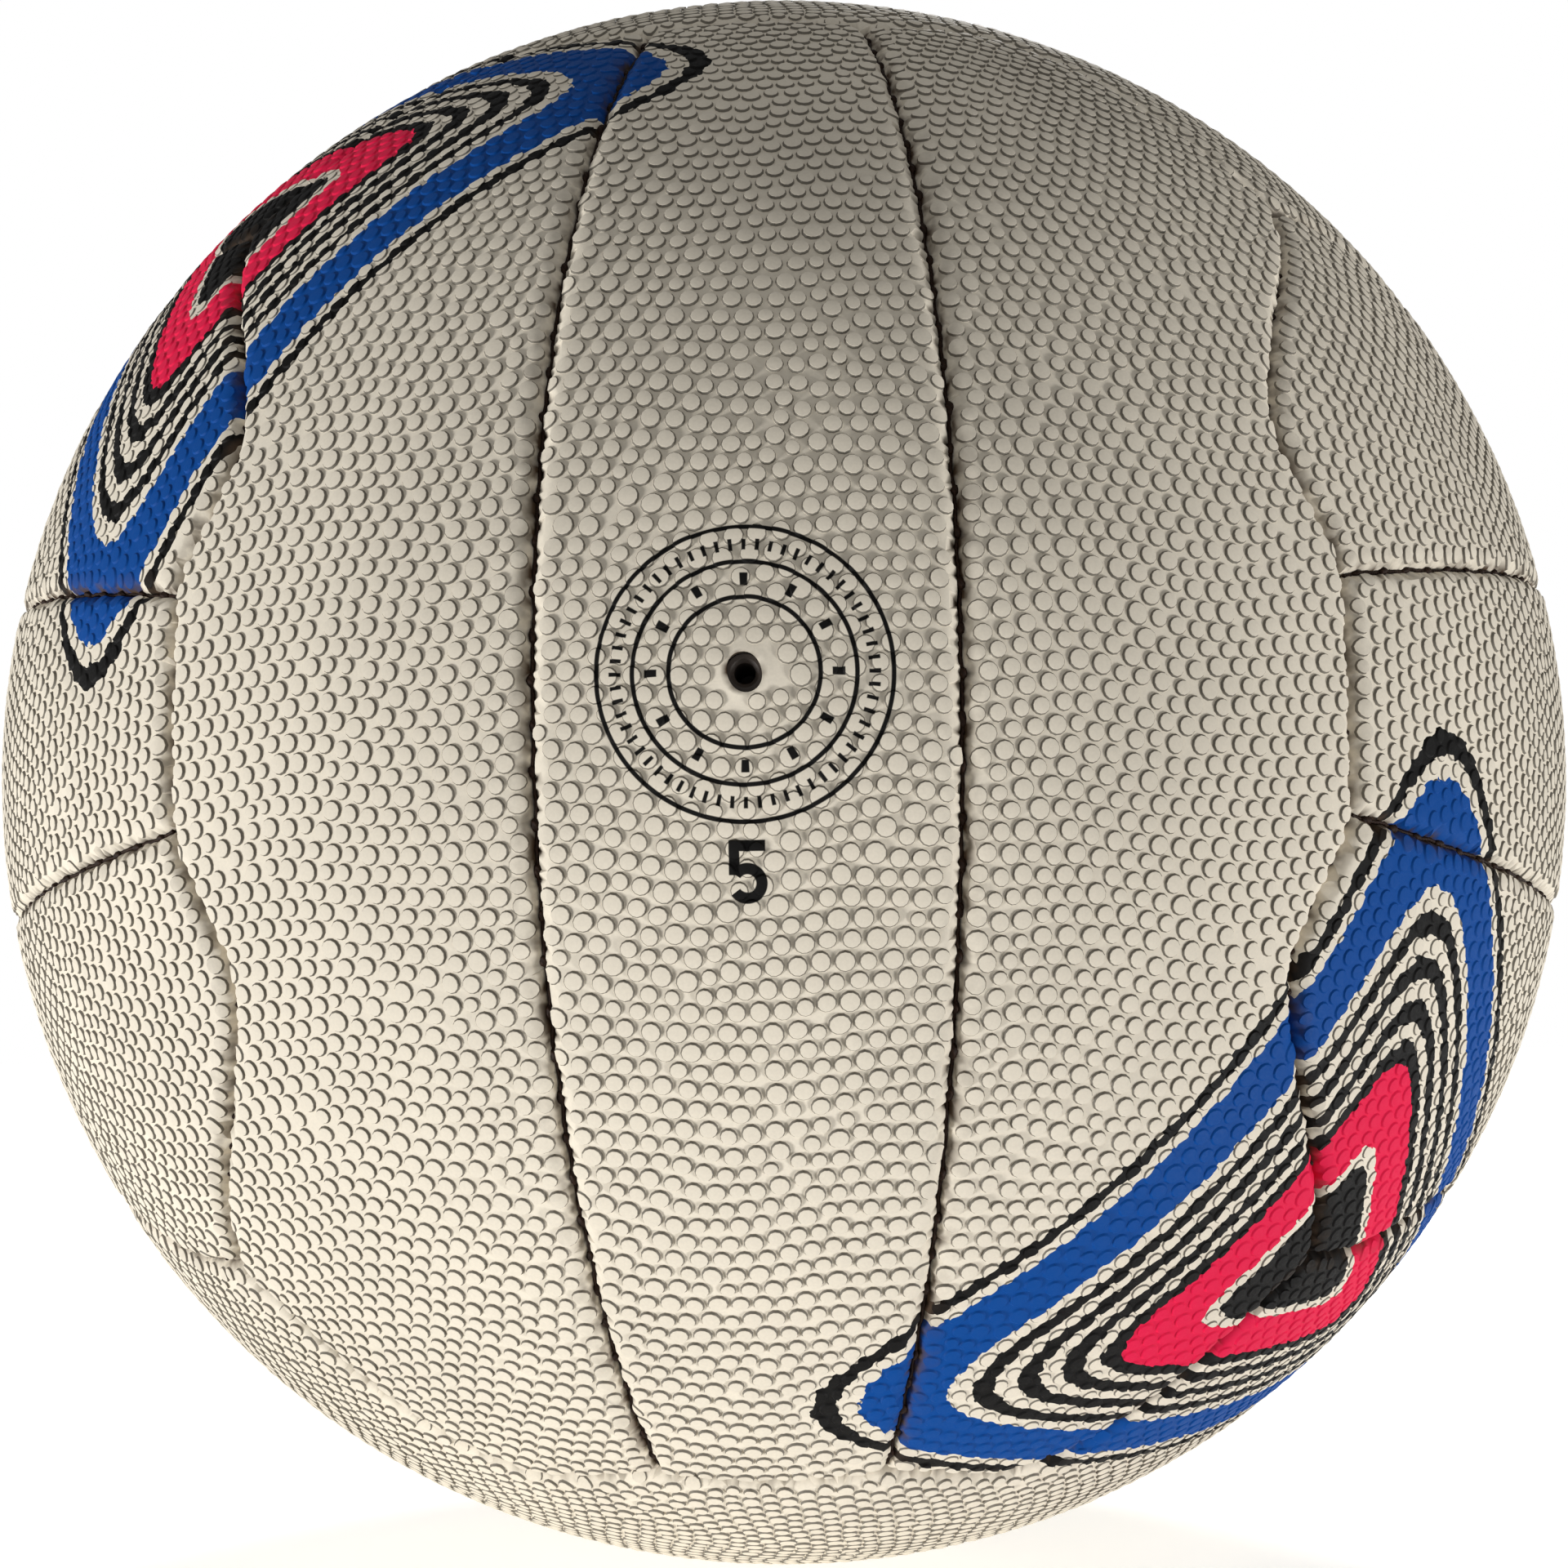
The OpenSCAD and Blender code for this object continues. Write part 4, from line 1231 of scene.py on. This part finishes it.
class NETBALL_OT_stage(bpy.types.Operator):
    """Makes the floor, the lamps, the white surroundings and the camera"""

    bl_idname = "netball.stage"
    bl_label = "Stage"

    def execute(self, context):
        scene, stage = context.scene, context.scene.netball_stage
        self.floor(stage)
        self.surroundings(scene)
        for name, (way, level) in LAMPS.items():
            add_lamp(name, way, level)
        self.camera(scene, stage)
        scene.view_settings.view_transform = "Standard"
        return {"FINISHED"}

    def floor(self, stage):
        deselect_all()
        lowest_pimple_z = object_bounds()[0][2]
        bpy.ops.mesh.primitive_plane_add(size=FLOOR_SIZE, location=(0, 0, lowest_pimple_z))
        floor = bpy.context.active_object
        floor.name = "studio_floor"
        bpy.ops.object.transform_apply(location=True, rotation=False, scale=False)
        made, tree, surface, out, coords = new_material("Matt white paper")
        fill_inputs(tree, surface, Base_Color=stage.floor, Roughness=0.9)
        rays = add_node(tree, "LightPath", {}).outputs
        seen = add_node(tree, "Math", "MAXIMUM", rays["Is Camera Ray"], rays["Is Glossy Ray"])
        off = add_node(tree, "VectorMath", "LENGTH", coords).outputs["Value"]
        level = add_node(tree, "MapRange", SMOOTH, off, From_Min=FLOOR_GLOW_MM[0], From_Max=FLOOR_GLOW_MM[1],
                         To_Min=FLOOR_GLOW_NEAR, To_Max=1.0)
        strength = add_node(tree, "Math", "MULTIPLY", seen, level)
        glow = add_node(tree, "Emission", {}, (1, 1, 1, 1), strength)
        fill_inputs(tree, out, add_node(tree, "AddShader", {}, surface, glow))
        floor.data.materials.append(made)
        floor.visible_shadow = False
        floor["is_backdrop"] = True

    def surroundings(self, scene):
        world = bpy.data.worlds.new("White studio")
        scene.world = world
        world.use_nodes = True
        tree = world.node_tree
        tree.nodes.clear()
        rays = add_node(tree, "LightPath", {}).outputs
        seen = add_node(tree, "Math", "MAXIMUM", rays["Is Camera Ray"], rays["Is Transmission Ray"])
        strength = add_node(tree, "MapRange", {}, seen, To_Min=SKY_LEVEL, To_Max=1.0)
        add_node(tree, "OutputWorld", {}, add_node(tree, "Background", {}, (1, 1, 1, 1), strength))

    def camera(self, scene, stage):
        turn = (Matrix.Rotation(stage.pitch, 3, "X") @ Matrix.Rotation(stage.roll, 3, "Y")
                @ Matrix.Rotation(stage.yaw, 3, "Z")).transposed()
        data = bpy.data.cameras.new("camera")
        data.sensor_width = SENSOR_W_MM
        data.lens = SENSOR_W_MM * stage.focal_px / PHOTO_W_PX
        data.shift_y = (BALL_CENTRE_V_PX - PHOTO_W_PX / 2) / PHOTO_W_PX
        camera = link_object(data, "camera")
        axes = Matrix((turn.col[0], turn.col[2], -turn.col[1])).transposed()
        camera.matrix_world = Matrix.Translation(turn @ Vector((0, -stage.distance * BALL_R, 0))) @ axes.to_4x4()
        scene.camera = camera


class NETBALL_PT_panel(bpy.types.Panel):
    """Sizes, colours and the operators that make the netball"""

    bl_idname = "NETBALL_PT_panel"
    bl_label = "Netball"
    bl_space_type = "VIEW_3D"
    bl_region_type = "UI"
    bl_category = "Netball"

    def draw(self, context):
        for name in GROUPS:
            group = getattr(context.scene, name)
            box = self.layout.box()
            for key in group.__annotations__:
                box.prop(group, key)
        for operator in OPERATORS:
            self.layout.operator(operator.bl_idname)


GROUPS = {
    "netball_seams": NetballSeams,
    "netball_pimples": NetballPimples,
    "netball_valve": NetballValve,
    "netball_stitches": NetballStitches,
    "netball_print": NetballPrint,
    "netball_finish": NetballFinish,
    "netball_stage": NetballStage,
}
OPERATORS = (NETBALL_OT_panels, NETBALL_OT_stitching, NETBALL_OT_inner_parts, NETBALL_OT_stage)


def register():
    for name, group in GROUPS.items():
        bpy.utils.register_class(group)
        setattr(bpy.types.Scene, name, PointerProperty(type=group))
    for cls in (*OPERATORS, NETBALL_PT_panel):
        bpy.utils.register_class(cls)


def unregister():
    for cls in (NETBALL_PT_panel, *reversed(OPERATORS)):
        bpy.utils.unregister_class(cls)
    for name, group in reversed(GROUPS.items()):
        delattr(bpy.types.Scene, name)
        bpy.utils.unregister_class(group)


def main():
    register()
    bpy.ops.netball.panels()
    bpy.ops.netball.stitching()
    bpy.ops.netball.inner_parts()
    bpy.ops.netball.stage()


if __name__ == "__main__":
    main()
